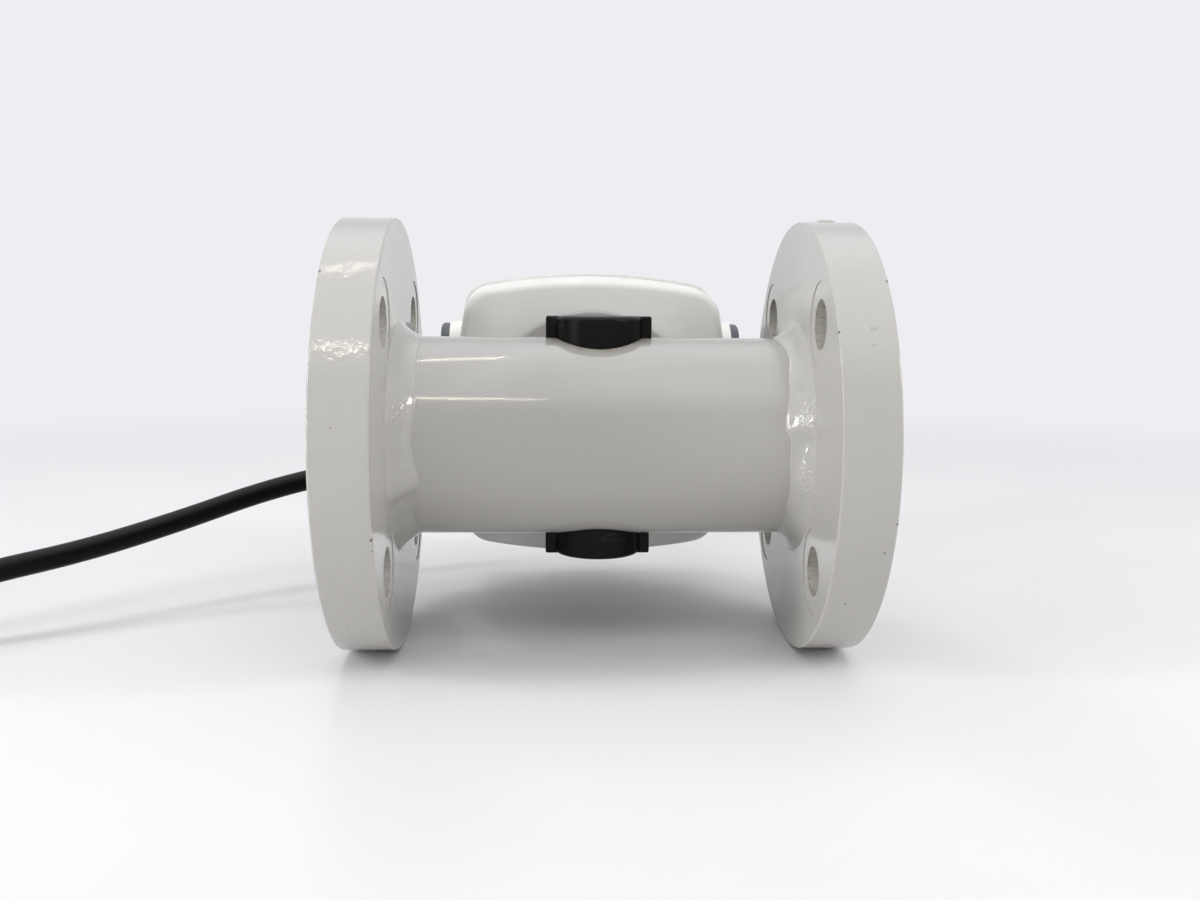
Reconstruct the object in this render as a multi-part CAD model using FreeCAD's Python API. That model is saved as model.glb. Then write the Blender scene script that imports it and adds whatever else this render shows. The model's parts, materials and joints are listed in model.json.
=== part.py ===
import FreeCAD
import Part
import math
import os
from FreeCAD import Vector

# Electromagnetic flow meter, flanged DN50 PN16, compact version.
# Millimetres. Origin: centre of the flow bore, midway between the flange faces.
# +X along the flow from the inlet to the outlet, +Y towards the converter, +Z up.

# ---------------------------------------------------------------- flow tube
face_to_face = 200.0
liner_flare_thickness = 4.0
liner_flare_diameter = 99.0
pipe_diameter = 60.3
pipe_wall = 2.0
liner_thickness = 3.15
bore_diameter = pipe_diameter - 2 * (pipe_wall + liner_thickness)
coil_space = 5.0
tube_wall = 2.9
tube_diameter = pipe_diameter + 2 * (coil_space + tube_wall)
tube_radius = tube_diameter / 2

# ---------------------------------------------------------------- flanges
flange_diameter = 165.0
flange_thickness = 20.0
flange_edge_radius = 0.8
flange_radius = flange_diameter / 2
bolt_circle_diameter = 125.0
bolt_hole_diameter = 18.0
bolt_count = 4
bolt_start_angle = 45.0
spot_face_diameter = 31.0
spot_face_depth = 0.3

# ---------------------------------------------------------------- welds
weld_leg_along_tube = 7.6
weld_leg_up_flange = 6.4
weld_sections = 36
weld_root_depth = 0.8
neck_weld_leg = 3.0

# ---------------------------------------------------------------- magnet coils
coil_thickness = 3.4
coil_length = 66.0
coil_side_width = 9.0
coil_half_angle = 58.0
pole_shoe_thickness = 2.4
pole_shoe_clearance = 0.5

# ---------------------------------------------------------------- electrodes and their caps
electrode_head_diameter = 9.0
electrode_head_height = 1.6
electrode_shank_diameter = 3.0
electrode_hole_diameter = 7.0
socket_diameter = 16.0
socket_height = 6.4
bush_collar_diameter = 11.0
bush_collar_height = 2.6
nut_across_flats = 5.5
nut_height = 2.4
electrode_stub = 1.2
cap_opening_diameter = 24.0
cap_diameter = 34.0
cap_stand = 8.15
cap_top_height = tube_radius + cap_stand
cap_ear_reach = 20.3
cap_ear_width = 8.0
cap_edge_radius = 1.9
cap_ear_edge_radius = 0.8
cap_wall = 2.6
cap_spigot_depth = 3.4
cap_seal_section = 1.6
cap_spigot_clearance = 0.15

# ---------------------------------------------------------------- neck and mounting plate
neck_diameter = 42.4
neck_wall = 2.6
plate_diameter = 95.0
plate_thickness = 6.0
plate_edge_radius = 1.0
plate_stand = 27.95
plate_far_face = tube_radius + plate_stand
housing_gasket_thickness = 1.0
housing_screw_circle = 72.0
housing_screw_count = 4

# ---------------------------------------------------------------- converter housing
housing_half_at_rim = 63.6
housing_draft = 2.6
housing_half_at_floor = housing_half_at_rim - housing_draft
housing_bulge_radius = 265.0
housing_corner_radius = 13.0
housing_wall = 3.0
housing_floor_y = plate_far_face + housing_gasket_thickness
gland_beside_flange = 15.5
entry_y = flange_radius + gland_beside_flange
entry_below_rim = 16.0
housing_rim_y = entry_y + entry_below_rim
housing_floor_edge_radius = 3.5
housing_boss_diameter = 10.0
lid_overhang = 1.4
lid_depth = 23.0
lid_front_y = housing_rim_y + lid_depth
lid_front_inset = 4.5
lid_front_edge_radius = 5.0
lid_wall = 2.8
lid_gasket_thickness = 1.2
lid_gasket_width = 2.6
lid_screw_inset = 14.6
lid_screw_offset = housing_half_at_rim - lid_screw_inset
lid_screw_diameter = 4.0
lid_screw_head_diameter = 8.0
lid_screw_head_height = 2.6
lid_counterbore_depth = 3.4
lid_screw_grip = 12.0
screw_cross_width = 1.0
screw_cross_depth = 1.4
screw_cross_share = 0.58
window_width = 66.0
window_height = 40.0
window_corner_radius = 4.0
window_thickness = 2.4
window_land = 3.0
window_glue_gap = 0.2
window_frame_margin = 2.0
window_frame_depth = 1.2
window_centre_z = 10.0

# ---------------------------------------------------------------- cable entries
entry_z = 29.0
entry_collar_diameter = 26.6
entry_collar_stand = 1.4
entry_collar_end_x = housing_half_at_rim + entry_collar_stand
entry_drill_length = 30.0
entry_drill_start = 12.0
entry_hole_diameter = 20.0
plug_head_diameter = 24.6
plug_head_thickness = 4.1
plug_shank_length = 9.0
plug_edge_chamfer = 0.9
plug_slot_width = 2.6
plug_slot_depth = 1.4
seal_ring_width = 1.4
seal_ring_depth = 1.0

# ---------------------------------------------------------------- cable gland
gland_flats = 24.0
gland_hex_length = 6.0
gland_body_bore = 11.0
gland_thread_diameter = 19.6
gland_tail_length = 9.0
gland_nose_diameter = 19.0
gland_nose_length = 8.0
gland_nut_length = 17.0
gland_nut_mouth_diameter = 12.0
gland_nut_clearance = 0.15
seal_insert_length = 9.0

# ---------------------------------------------------------------- cable, chosen point by point
# The route's heights are above the floor that the flange rims stand on.
cable_diameter = 9.5
cable_radius = cable_diameter / 2
floor_level = -flange_radius
coil_mean_radius = 49.0
coil_band = 24.0
coil_height = 20.0
coil_centre = (-369.0, 24.0)
coil_stub_length = 2.0
coil_outer_radius = coil_mean_radius + coil_band / 2
coil_line = coil_outer_radius - cable_radius
cable_route = [
    (-116.0, entry_y, -entry_z - floor_level),
    (-150.0, 85.5, 46.5),
    (-183.0, 59.5, 36.5),
    (-213.0, 31.5, 29.5),
    (-243.0, 1.0, 26.5),
    (-275.0, -23.0, 18.0),
    (-308.0, coil_centre[1] - coil_line, cable_radius),
]
core_diameter = 2.2
core_spread = 1.6
core_length = 22.0
core_count = 3
ferrule_diameter = 1.6
ferrule_length = 8.0

# ---------------------------------------------------------------- electronics
board_half_width = 42.0
board_half_height = 40.0
board_thickness = 1.6
board_below_rim = 15.0
board_y = housing_rim_y - board_below_rim
pillar_diameter = 7.0
pillar_offset_x = 36.0
pillar_offset_z = 34.0
board_screw_diameter = 3.0
board_screw_grip = 7.0
board_screw_head_diameter = 5.6
board_screw_head_height = 2.0
transformer_block = (-34.0, -10.0, 13.0, 2.0, 26.0)
radio_shield_block = (-2.0, 30.0, 4.0, 6.0, 28.0)
capacitor_diameter = 9.0
capacitor_height = 11.0
capacitor_places = [(8.0, -6.0), (20.0, -6.0)]
terminal_length = 50.0
terminal_height = 12.0
terminal_depth = 10.0
terminal_ways = 10
terminal_pitch = 4.6
terminal_z = -24.0
terminal_clamp_diameter = 3.4
terminal_clamp_depth = 4.0
terminal_entry_width = 3.0
terminal_entry_depth = 5.0
display_frame_width = 68.0
display_frame_height = 42.0
display_depth = 6.0

# ---------------------------------------------------------------- derived sizes
pipe_radius = pipe_diameter / 2
bore_radius = bore_diameter / 2
rim_face_x = face_to_face / 2 - liner_flare_thickness
flange_inner_x = rim_face_x - flange_thickness
plate_near_face = plate_far_face - plate_thickness

X_AXIS = Vector(1, 0, 0)
Y_AXIS = Vector(0, 1, 0)
Z_AXIS = Vector(0, 0, 1)


# ---------------------------------------------------------------- helpers
def cylinder(radius, base, axis, length):
    """A solid cylinder that starts at base and runs along axis."""
    return Part.makeCylinder(radius, length, Vector(*base), axis)


def ring(outer, inner, base, axis, length):
    """A straight ring of two radii."""
    hole = cylinder(inner, Vector(*base) - axis, axis, length + 2)
    return cylinder(outer, base, axis, length).cut(hole)


def box(x0, x1, y0, y1, z0, z1):
    """A block between two corners."""
    return Part.makeBox(x1 - x0, y1 - y0, z1 - z0, Vector(x0, y0, z0))


def hexagon(across_flats, base, axis, length):
    """A hexagonal bar along axis."""
    start = Vector(*base)
    side = Z_AXIS if abs(axis.z) < 0.5 else X_AXIS
    other = axis.cross(side)
    reach = across_flats / math.sqrt(3)
    corners = []
    for step in range(7):
        angle = math.radians(60 * step)
        corners.append(start + side * (reach * math.cos(angle)) + other * (reach * math.sin(angle)))
    return Part.Face(Part.makePolygon(corners)).extrude(axis * length)


def fuse_all(shapes):
    """One shape from several that touch or overlap."""
    result = shapes[0].multiFuse(shapes[1:]) if len(shapes) > 1 else shapes[0]
    return result.removeSplitter()


def round_edges(shape, radius, wanted):
    """Fillets the edges that wanted(edge) picks."""
    picked = [edge for edge in shape.Edges if wanted(edge)]
    return shape.makeFillet(radius, picked) if picked else shape


def mirrored_z(shape):
    """The same shape on the other side of the XY plane."""
    return shape.mirror(Vector(0, 0, 0), Z_AXIS)


def mirrored_x(shape):
    """The same shape on the other side of the YZ plane."""
    return shape.mirror(Vector(0, 0, 0), X_AXIS)


def mirrored_y(shape):
    """The same shape on the other side of the XZ plane."""
    return shape.mirror(Vector(0, 0, 0), Y_AXIS)


def lies_at(edge, axis_name, value):
    """True where every point of an edge has the same coordinate."""
    box_of = edge.BoundBox
    low = getattr(box_of, axis_name + "Min")
    high = getattr(box_of, axis_name + "Max")
    return abs(low - value) < 0.02 and abs(high - value) < 0.02


# ---------------------------------------------------------------- flow tube
def make_flange():
    """The outlet flange: a drilled ring with softened rims and shallow spot faces."""
    plate = ring(flange_radius, pipe_radius, (flange_inner_x, 0, 0), X_AXIS, flange_thickness)
    plate = round_edges(plate, flange_edge_radius,
                        lambda edge: edge.BoundBox.ZMax > flange_radius - 1
                        and (lies_at(edge, "X", flange_inner_x) or lies_at(edge, "X", rim_face_x)))
    for number in range(bolt_count):
        angle = math.radians(bolt_start_angle + 360.0 / bolt_count * number)
        y = bolt_circle_diameter / 2 * math.cos(angle)
        z = bolt_circle_diameter / 2 * math.sin(angle)
        hole = cylinder(bolt_hole_diameter / 2, (flange_inner_x - 1, y, z), X_AXIS,
                        flange_thickness + 2)
        spot = cylinder(spot_face_diameter / 2, (flange_inner_x - 1, y, z), X_AXIS,
                        1 + spot_face_depth)
        plate = plate.cut(hole).cut(spot)
    return plate


def weld_section(angle, along, up):
    """One closed section of the fillet weld, standing in the half plane at angle."""
    def at(x, radius):
        return Vector(x, radius * math.cos(angle), radius * math.sin(angle))

    toe_on_tube = at(flange_inner_x - along, tube_radius - weld_root_depth)
    toe_on_flange = at(flange_inner_x + weld_root_depth, tube_radius + up)
    root = at(flange_inner_x + weld_root_depth, tube_radius - weld_root_depth)
    face = Part.BSplineCurve()
    face.interpolate([
        toe_on_tube,
        at(flange_inner_x - 0.74 * along, tube_radius + 0.18 * up),
        at(flange_inner_x - 0.44 * along, tube_radius + 0.42 * up),
        at(flange_inner_x - 0.17 * along, tube_radius + 0.74 * up),
        toe_on_flange,
    ])
    edges = [face.toShape(), Part.LineSegment(toe_on_flange, root).toShape(),
             Part.LineSegment(root, toe_on_tube).toShape()]
    return Part.Wire(edges)


def make_weld(lumps):
    """A fillet weld laid by hand: each lump adds to the legs round its own angle.

    lumps lists (angle, half width, extra along the tube, extra up the flange), angles in
    degrees from +Y towards +Z.
    """
    sections = []
    for number in range(weld_sections):
        degrees = 360.0 / weld_sections * number
        along = weld_leg_along_tube
        up = weld_leg_up_flange
        for centre, width, more_along, more_up in lumps:
            away = (degrees - centre + 180) % 360 - 180
            strength = math.exp(-(away / width) ** 2)
            along += more_along * strength
            up += more_up * strength
        sections.append(weld_section(math.radians(degrees), along, up))
    bead = Part.makeLoft(sections, True, False, True)
    tube = cylinder(tube_radius, (0, 0, 0), X_AXIS, face_to_face)
    flange = cylinder(flange_radius, (flange_inner_x, 0, 0), X_AXIS, flange_thickness)
    return bead.cut(tube).cut(flange)


def make_outer_tube():
    """The steel tube between the flanges, open for the neck and for both electrode caps."""
    tube = ring(tube_radius, tube_radius - tube_wall, (-flange_inner_x, 0, 0), X_AXIS,
                2 * flange_inner_x)
    neck_hole = cylinder(neck_diameter / 2 - neck_wall, (0, 0, 0), Y_AXIS, tube_diameter)
    cap_holes = cylinder(cap_opening_diameter / 2, (0, 0, -tube_diameter), Z_AXIS,
                         2 * tube_diameter)
    return tube.cut(neck_hole).cut(cap_holes)


def make_measuring_pipe():
    """The non-magnetic pipe that carries the liner, drilled for the electrodes."""
    pipe = ring(pipe_radius, pipe_radius - pipe_wall, (-rim_face_x, 0, 0), X_AXIS, 2 * rim_face_x)
    drill = cylinder(electrode_hole_diameter / 2, (0, 0, -pipe_diameter), Z_AXIS,
                     2 * pipe_diameter)
    return pipe.cut(drill)


def make_liner():
    """The insulating liner, flared over both flange faces."""
    liner_radius = pipe_radius - pipe_wall
    body = cylinder(liner_radius, (-face_to_face / 2, 0, 0), X_AXIS, face_to_face)
    flare = cylinder(liner_flare_diameter / 2, (rim_face_x, 0, 0), X_AXIS, liner_flare_thickness)
    outside = fuse_all([body, flare, mirrored_x(flare)])
    bore = cylinder(bore_radius, (-face_to_face / 2 - 1, 0, 0), X_AXIS, face_to_face + 2)
    shank = cylinder(electrode_shank_diameter / 2, (0, 0, -pipe_diameter), Z_AXIS,
                     2 * pipe_diameter)
    seat_height = bore_diameter + 2 * electrode_head_height
    head_seat = cylinder(electrode_head_diameter / 2, (0, 0, -seat_height / 2), Z_AXIS,
                         seat_height)
    return outside.cut(bore).cut(shank).cut(head_seat)


# ---------------------------------------------------------------- magnet coils
def wedge(half_angle, length, inner, outer):
    """A curved plate round the pipe, centred on +Y."""
    plate = ring(outer, inner, (-length / 2, 0, 0), X_AXIS, length)
    reach = 4 * outer
    angle = math.radians(half_angle)
    corners = [
        Vector(0, 0, 0),
        Vector(0, reach * math.cos(angle), reach * math.sin(angle)),
        Vector(0, reach * 2, 0),
        Vector(0, reach * math.cos(angle), -reach * math.sin(angle)),
        Vector(0, 0, 0),
    ]
    sector = Part.Face(Part.makePolygon(corners)).extrude(Vector(length + 2, 0, 0))
    sector.translate(Vector(-length / 2 - 1, 0, 0))
    return plate.common(sector)


def make_field_coil():
    """A saddle coil on the +Y side: a curved plate with its middle left open."""
    inner = pipe_radius
    outer = inner + coil_thickness
    side_angle = math.degrees(coil_side_width / pipe_radius)
    whole = wedge(coil_half_angle, coil_length, inner, outer)
    middle = wedge(coil_half_angle - side_angle, coil_length - 2 * coil_side_width, inner - 1,
                   outer + 1)
    return whole.cut(middle)


def make_pole_shoe():
    """The curved iron plate in the middle of a saddle coil."""
    side_angle = math.degrees((coil_side_width + pole_shoe_clearance) / pipe_radius)
    length = coil_length - 2 * coil_side_width - 2 * pole_shoe_clearance
    return wedge(coil_half_angle - side_angle, length, pipe_radius,
                 pipe_radius + pole_shoe_thickness)


# ---------------------------------------------------------------- electrodes
def socket_top():
    return math.sqrt(pipe_radius ** 2 - (socket_diameter / 2) ** 2) + socket_height


def make_electrode_socket():
    """The upper socket welded on the pipe, which holds the insulating bush."""
    low = pipe_radius - pipe_wall
    post = ring(socket_diameter / 2, electrode_hole_diameter / 2, (0, 0, low), Z_AXIS,
                socket_top() - low)
    return post.cut(cylinder(pipe_radius, (-pipe_diameter, 0, 0), X_AXIS, 2 * pipe_diameter))


def make_electrode_bush():
    """The insulating bush between the electrode and its socket."""
    low = pipe_radius - pipe_wall + 0.3
    stem = cylinder(electrode_hole_diameter / 2, (0, 0, low), Z_AXIS, socket_top() - low)
    collar = cylinder(bush_collar_diameter / 2, (0, 0, socket_top()), Z_AXIS, bush_collar_height)
    shank = cylinder(electrode_shank_diameter / 2, (0, 0, 0), Z_AXIS, pipe_diameter)
    return fuse_all([stem, collar]).cut(shank)


def electrode_tip():
    return socket_top() + bush_collar_height + nut_height + electrode_stub


def make_electrode():
    """The upper measuring electrode, with its head let into the liner, level with the bore."""
    head = cylinder(electrode_head_diameter / 2, (0, 0, bore_radius), Z_AXIS,
                    electrode_head_height)
    head = round_edges(head, electrode_head_height * 0.45,
                       lambda edge: lies_at(edge, "Z", bore_radius))
    shank = cylinder(electrode_shank_diameter / 2, (0, 0, bore_radius), Z_AXIS,
                     electrode_tip() - bore_radius)
    return fuse_all([head, shank])


def make_electrode_nut():
    """The nut that pulls the upper electrode tight."""
    low = socket_top() + bush_collar_height
    nut = hexagon(nut_across_flats, (0, 0, low), Z_AXIS, nut_height)
    return nut.cut(cylinder(electrode_shank_diameter / 2, (0, 0, low - 1), Z_AXIS, nut_height + 2))


# ---------------------------------------------------------------- electrode caps
def cap_seal_radius():
    return cap_opening_diameter / 2 - cap_seal_section / 2


def cap_seal_level():
    """Half way up the band of height that the tube's wall has all round the opening."""
    lowest_outer = math.sqrt(tube_radius ** 2 - (cap_opening_diameter / 2) ** 2)
    return (lowest_outer + tube_radius - tube_wall) / 2


def make_electrode_cap():
    """The upper cover: a round cap with two ears, cut to sit on the tube, and a spigot."""
    low = tube_radius * 0.8
    disc = cylinder(cap_diameter / 2, (0, 0, low), Z_AXIS, cap_top_height - low)
    disc = round_edges(disc, cap_edge_radius, lambda edge: lies_at(edge, "Z", cap_top_height))
    ears = box(-cap_ear_reach, cap_ear_reach, -cap_ear_width / 2, cap_ear_width / 2, low,
               cap_top_height)
    ears = round_edges(ears, cap_ear_edge_radius,
                       lambda edge: lies_at(edge, "Z", cap_top_height)
                       or (edge.BoundBox.ZLength > 1 and abs(edge.BoundBox.ZMin - low) < 0.1))
    saddle = fuse_all([disc, ears]).cut(
        cylinder(tube_radius, (-cap_diameter, 0, 0), X_AXIS, 2 * cap_diameter))
    spigot_low = tube_radius - tube_wall - cap_spigot_depth
    spigot = cylinder(cap_opening_diameter / 2 - cap_spigot_clearance, (0, 0, spigot_low), Z_AXIS,
                      cap_top_height - cap_wall - spigot_low)
    hollow = cylinder(cap_opening_diameter / 2 - cap_wall, (0, 0, spigot_low - 1), Z_AXIS,
                      cap_top_height - cap_wall - spigot_low + 1)
    body = fuse_all([saddle, spigot]).cut(hollow)
    groove = ring(cap_opening_diameter / 2 + 0.01, cap_seal_radius() - cap_seal_section / 2,
                  (0, 0, cap_seal_level() - cap_seal_section / 2), Z_AXIS, cap_seal_section)
    return body.cut(groove)


def make_cap_seal():
    """The upper cap's sealing ring, in the spigot's groove and against the tube's wall."""
    return Part.makeTorus(cap_seal_radius(), cap_seal_section / 2,
                          Vector(0, 0, cap_seal_level()), Z_AXIS)


# ---------------------------------------------------------------- neck and mounting plate
def make_neck_tube():
    """The short tube that stands on the flow tube and carries the mounting plate."""
    neck = ring(neck_diameter / 2, neck_diameter / 2 - neck_wall, (0, 0, 0), Y_AXIS,
                plate_near_face)
    return neck.cut(cylinder(tube_radius, (-neck_diameter, 0, 0), X_AXIS, 2 * neck_diameter))


def make_neck_weld():
    """The hollow-faced bead round the foot of the neck, with its leg as its radius."""
    tube = cylinder(tube_radius, (-neck_diameter, 0, 0), X_AXIS, 2 * neck_diameter)
    neck = cylinder(neck_diameter / 2, (0, 0, 0), Y_AXIS, plate_near_face)
    joined = tube.fuse(neck)
    foot = [edge for edge in joined.Edges
            if edge.BoundBox.YLength > 1 and edge.BoundBox.YMin > 0
            and abs(edge.BoundBox.YMax - tube_radius) < 0.1]
    return joined.makeFillet(neck_weld_leg, foot).cut(tube).cut(neck)


def around_screw_circle(shape, circle, count):
    """Copies of a shape, built on the Y axis, round a circle."""
    copies = []
    for number in range(count):
        angle = math.radians(45 + 360.0 / count * number)
        copy = shape.copy()
        copy.translate(Vector(circle / 2 * math.cos(angle), 0, circle / 2 * math.sin(angle)))
        copies.append(copy)
    return copies


def make_mounting_plate():
    """The round plate on the neck, with threaded holes for the housing's screws."""
    plate = ring(plate_diameter / 2, neck_diameter / 2 - neck_wall, (0, plate_near_face, 0),
                 Y_AXIS, plate_thickness)
    plate = round_edges(plate, plate_edge_radius,
                        lambda edge: lies_at(edge, "Y", plate_near_face)
                        and edge.BoundBox.ZMax > plate_diameter / 2 - 1)
    hole = cylinder(lid_screw_diameter / 2, (0, plate_near_face - 1, 0), Y_AXIS,
                    plate_thickness + 2)
    for copy in around_screw_circle(hole, housing_screw_circle, housing_screw_count):
        plate = plate.cut(copy)
    return plate


def make_housing_gasket():
    """The flat gasket between the mounting plate and the housing."""
    gasket = ring(plate_diameter / 2 - 1, neck_diameter / 2 - neck_wall, (0, plate_far_face, 0),
                  Y_AXIS, housing_gasket_thickness)
    hole = cylinder(lid_screw_diameter / 2, (0, plate_far_face - 1, 0), Y_AXIS,
                    housing_gasket_thickness + 2)
    for copy in around_screw_circle(hole, housing_screw_circle, housing_screw_count):
        gasket = gasket.cut(copy)
    return gasket


def pan_head_screw(low, seat):
    """A cross-recessed screw on the Y axis, from its tip to the face that its head sits on."""
    shank = cylinder(lid_screw_diameter / 2, (0, low, 0), Y_AXIS, seat - low)
    head = cylinder(lid_screw_head_diameter / 2, (0, seat, 0), Y_AXIS, lid_screw_head_height)
    top = seat + lid_screw_head_height
    head = round_edges(head, lid_screw_head_height * 0.3, lambda edge: lies_at(edge, "Y", top))
    reach = lid_screw_head_diameter / 2 * screw_cross_share
    cross = box(-reach, reach, top - screw_cross_depth, top + 1, -screw_cross_width / 2,
                screw_cross_width / 2)
    return fuse_all([shank, head]).cut(cross).cut(cross.rotated(Vector(0, 0, 0), Y_AXIS, 90))


def make_housing_screws():
    """Pan head screws that hold the housing on the plate, from inside."""
    screw = pan_head_screw(plate_near_face, housing_floor_y + housing_wall)
    return Part.Compound(around_screw_circle(screw, housing_screw_circle, housing_screw_count))


# ---------------------------------------------------------------- converter housing
def bulged_square(half, y):
    """A rounded square outline with slightly bulging sides, in the plane at y."""
    corner = housing_corner_radius
    bulge = housing_bulge_radius
    # The side arc peaks at half; the corner arc is tangent to the two side arcs beside it.
    centre = half - bulge
    # The corner arc's centre lies on the diagonal, bulge - corner away from the side's centre.
    run = bulge - corner
    spot = (centre + math.sqrt(2 * run ** 2 - centre ** 2)) / 2
    turn = math.atan2(spot, spot - centre)
    side_end = (centre + bulge * math.cos(turn), bulge * math.sin(turn))
    diagonal = spot + corner / math.sqrt(2)

    def point(x, z, quarter):
        cosine, sine = [(1, 0), (0, 1), (-1, 0), (0, -1)][quarter]
        return Vector(x * cosine - z * sine, y, x * sine + z * cosine)

    edges = []
    for quarter in range(4):
        start = point(side_end[0], -side_end[1], quarter)
        middle = point(half, 0, quarter)
        end = point(side_end[0], side_end[1], quarter)
        corner_middle = point(diagonal, diagonal, quarter)
        corner_end = point(side_end[1], side_end[0], quarter)
        edges.append(Part.Arc(start, middle, end).toShape())
        edges.append(Part.Arc(end, corner_middle, corner_end).toShape())
    return Part.Wire(edges)


def tapered_block(half_low, y_low, half_high, y_high):
    """A solid between two bulged squares."""
    return Part.makeLoft([bulged_square(half_low, y_low), bulged_square(half_high, y_high)],
                         True, True)


def rim_half(y):
    """Half the base's width at a height between its floor and its rim."""
    share = (y - housing_floor_y) / (housing_rim_y - housing_floor_y)
    return housing_half_at_floor + share * (housing_half_at_rim - housing_half_at_floor)


def make_converter_base():
    """The housing's base: a drafted tray with a soft floor edge, bosses and cable entries."""
    outside = tapered_block(housing_half_at_floor, housing_floor_y, housing_half_at_rim,
                            housing_rim_y)
    outside = round_edges(outside, housing_floor_edge_radius,
                          lambda edge: lies_at(edge, "Y", housing_floor_y))
    for side in (-1, 1):
        for level in (-entry_z, entry_z):
            collar = cylinder(entry_collar_diameter / 2, (0, entry_y, level), X_AXIS * side,
                              entry_collar_end_x)
            outside = outside.fuse(collar)
    floor_top = housing_floor_y + housing_wall
    inside = tapered_block(rim_half(floor_top) - housing_wall, floor_top,
                           housing_half_at_rim - housing_wall, housing_rim_y)
    inside = round_edges(inside, housing_floor_edge_radius / 2,
                         lambda edge: lies_at(edge, "Y", floor_top))
    boss = cylinder(housing_boss_diameter / 2, (0, floor_top, 0), Y_AXIS,
                    housing_rim_y - floor_top)
    for copy in at_corners(boss, lid_screw_offset, lid_screw_offset):
        inside = inside.cut(copy)
    tray = outside.cut(inside)
    thread = cylinder(lid_screw_diameter / 2, (0, housing_rim_y - lid_screw_grip, 0), Y_AXIS,
                      lid_screw_grip + 1)
    for copy in at_corners(thread, lid_screw_offset, lid_screw_offset):
        tray = tray.cut(copy)
    for side in (-1, 1):
        for level in (-entry_z, entry_z):
            start = (side * (housing_half_at_floor - entry_drill_start), entry_y, level)
            tray = tray.cut(cylinder(entry_hole_diameter / 2, start, X_AXIS * side,
                                     entry_drill_length))
    pillar = cylinder(pillar_diameter / 2, (0, floor_top - 0.5, 0), Y_AXIS,
                      board_y - floor_top + 0.5)
    pilot = cylinder(board_screw_diameter / 2, (0, board_y - board_screw_grip - 1, 0), Y_AXIS,
                     board_screw_grip + 2)
    pillars = at_corners(pillar.cut(pilot), pillar_offset_x, pillar_offset_z)
    tray = tray.fuse(pillars[0]).fuse(pillars[1:])
    opening = cylinder(neck_diameter / 2 - neck_wall, (0, housing_floor_y - 1, 0), Y_AXIS,
                       housing_wall + 2)
    tray = tray.cut(opening)
    hole = cylinder(lid_screw_diameter / 2, (0, housing_floor_y - 1, 0), Y_AXIS, housing_wall + 2)
    for copy in around_screw_circle(hole, housing_screw_circle, housing_screw_count):
        tray = tray.cut(copy)
    return tray.removeSplitter()


def at_corners(shape, offset_x, offset_z):
    """Four copies of a shape, built on the Y axis, at the corners of a rectangle."""
    copies = []
    for x in (-offset_x, offset_x):
        for z in (-offset_z, offset_z):
            copy = shape.copy()
            copy.translate(Vector(x, 0, z))
            copies.append(copy)
    return copies


def make_lid_gasket():
    """The gasket on the base's rim, just inside its outer edge."""
    outer = housing_half_at_rim - 0.2
    band = tapered_block(outer, housing_rim_y, outer, housing_rim_y + lid_gasket_thickness)
    inner = outer - lid_gasket_width
    return band.cut(tapered_block(inner, housing_rim_y - 1, inner,
                                  housing_rim_y + lid_gasket_thickness + 1))


def lid_seat():
    return housing_rim_y + lid_gasket_thickness


def window_block(width, height, y_low, y_high, radius):
    """A rounded rectangle standing for the window or its opening."""
    block = box(-width / 2, width / 2, y_low, y_high, window_centre_z - height / 2,
                window_centre_z + height / 2)
    return round_edges(block, radius, lambda edge: edge.BoundBox.YLength > 0.5)


def make_converter_lid():
    """The lid: a deep tray with a soft front edge, screw pillars and the window opening."""
    half = housing_half_at_rim + lid_overhang
    outside = tapered_block(half, lid_seat(), half - lid_front_inset, lid_front_y)
    outside = round_edges(outside, lid_front_edge_radius,
                          lambda edge: lies_at(edge, "Y", lid_front_y))
    back = lid_front_y - lid_wall
    inner_half = housing_half_at_rim - housing_wall
    inside = tapered_block(inner_half, lid_seat() - 1, inner_half - lid_front_inset, back)
    pillar = cylinder(housing_boss_diameter / 2, (0, lid_seat(), 0), Y_AXIS,
                      lid_front_y - lid_seat())
    for copy in at_corners(pillar, lid_screw_offset, lid_screw_offset):
        inside = inside.cut(copy)
    shell = outside.cut(inside)
    hole = cylinder(lid_screw_diameter / 2, (0, lid_seat() - 1, 0), Y_AXIS, lid_front_y)
    sink = cylinder(lid_screw_head_diameter / 2 + 0.4, (0, lid_front_y - lid_counterbore_depth, 0),
                    Y_AXIS, lid_counterbore_depth + 1)
    for copy in at_corners(fuse_all([hole, sink]), lid_screw_offset, lid_screw_offset):
        shell = shell.cut(copy)
    recess = window_block(window_width, window_height, lid_front_y - window_thickness,
                          lid_front_y + 1, window_corner_radius)
    through = window_block(window_width - 2 * window_land, window_height - 2 * window_land,
                           back - window_frame_depth - 1, lid_front_y, window_corner_radius / 2)
    frame = window_block(window_width + 2 * window_frame_margin,
                         window_height + 2 * window_frame_margin, back - window_frame_depth,
                         back + 0.5, window_corner_radius)
    return shell.fuse(frame).cut(recess).cut(through).removeSplitter()


def make_display_window():
    """The clear window, glued in the lid's recess and level with its face."""
    return window_block(window_width - 2 * window_glue_gap, window_height - 2 * window_glue_gap,
                        lid_front_y - window_thickness, lid_front_y,
                        window_corner_radius - window_glue_gap)


def make_display_module():
    """The display behind the window, held against the frame on the lid's back."""
    far = lid_front_y - lid_wall - window_frame_depth
    return box(-display_frame_width / 2, display_frame_width / 2, far - display_depth, far,
               window_centre_z - display_frame_height / 2,
               window_centre_z + display_frame_height / 2)


def make_lid_screws():
    """Pan head screws in the counterbores at the lid's corners."""
    screw = pan_head_screw(housing_rim_y - lid_screw_grip, lid_front_y - lid_counterbore_depth)
    return Part.Compound(at_corners(screw, lid_screw_offset, lid_screw_offset))


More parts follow.
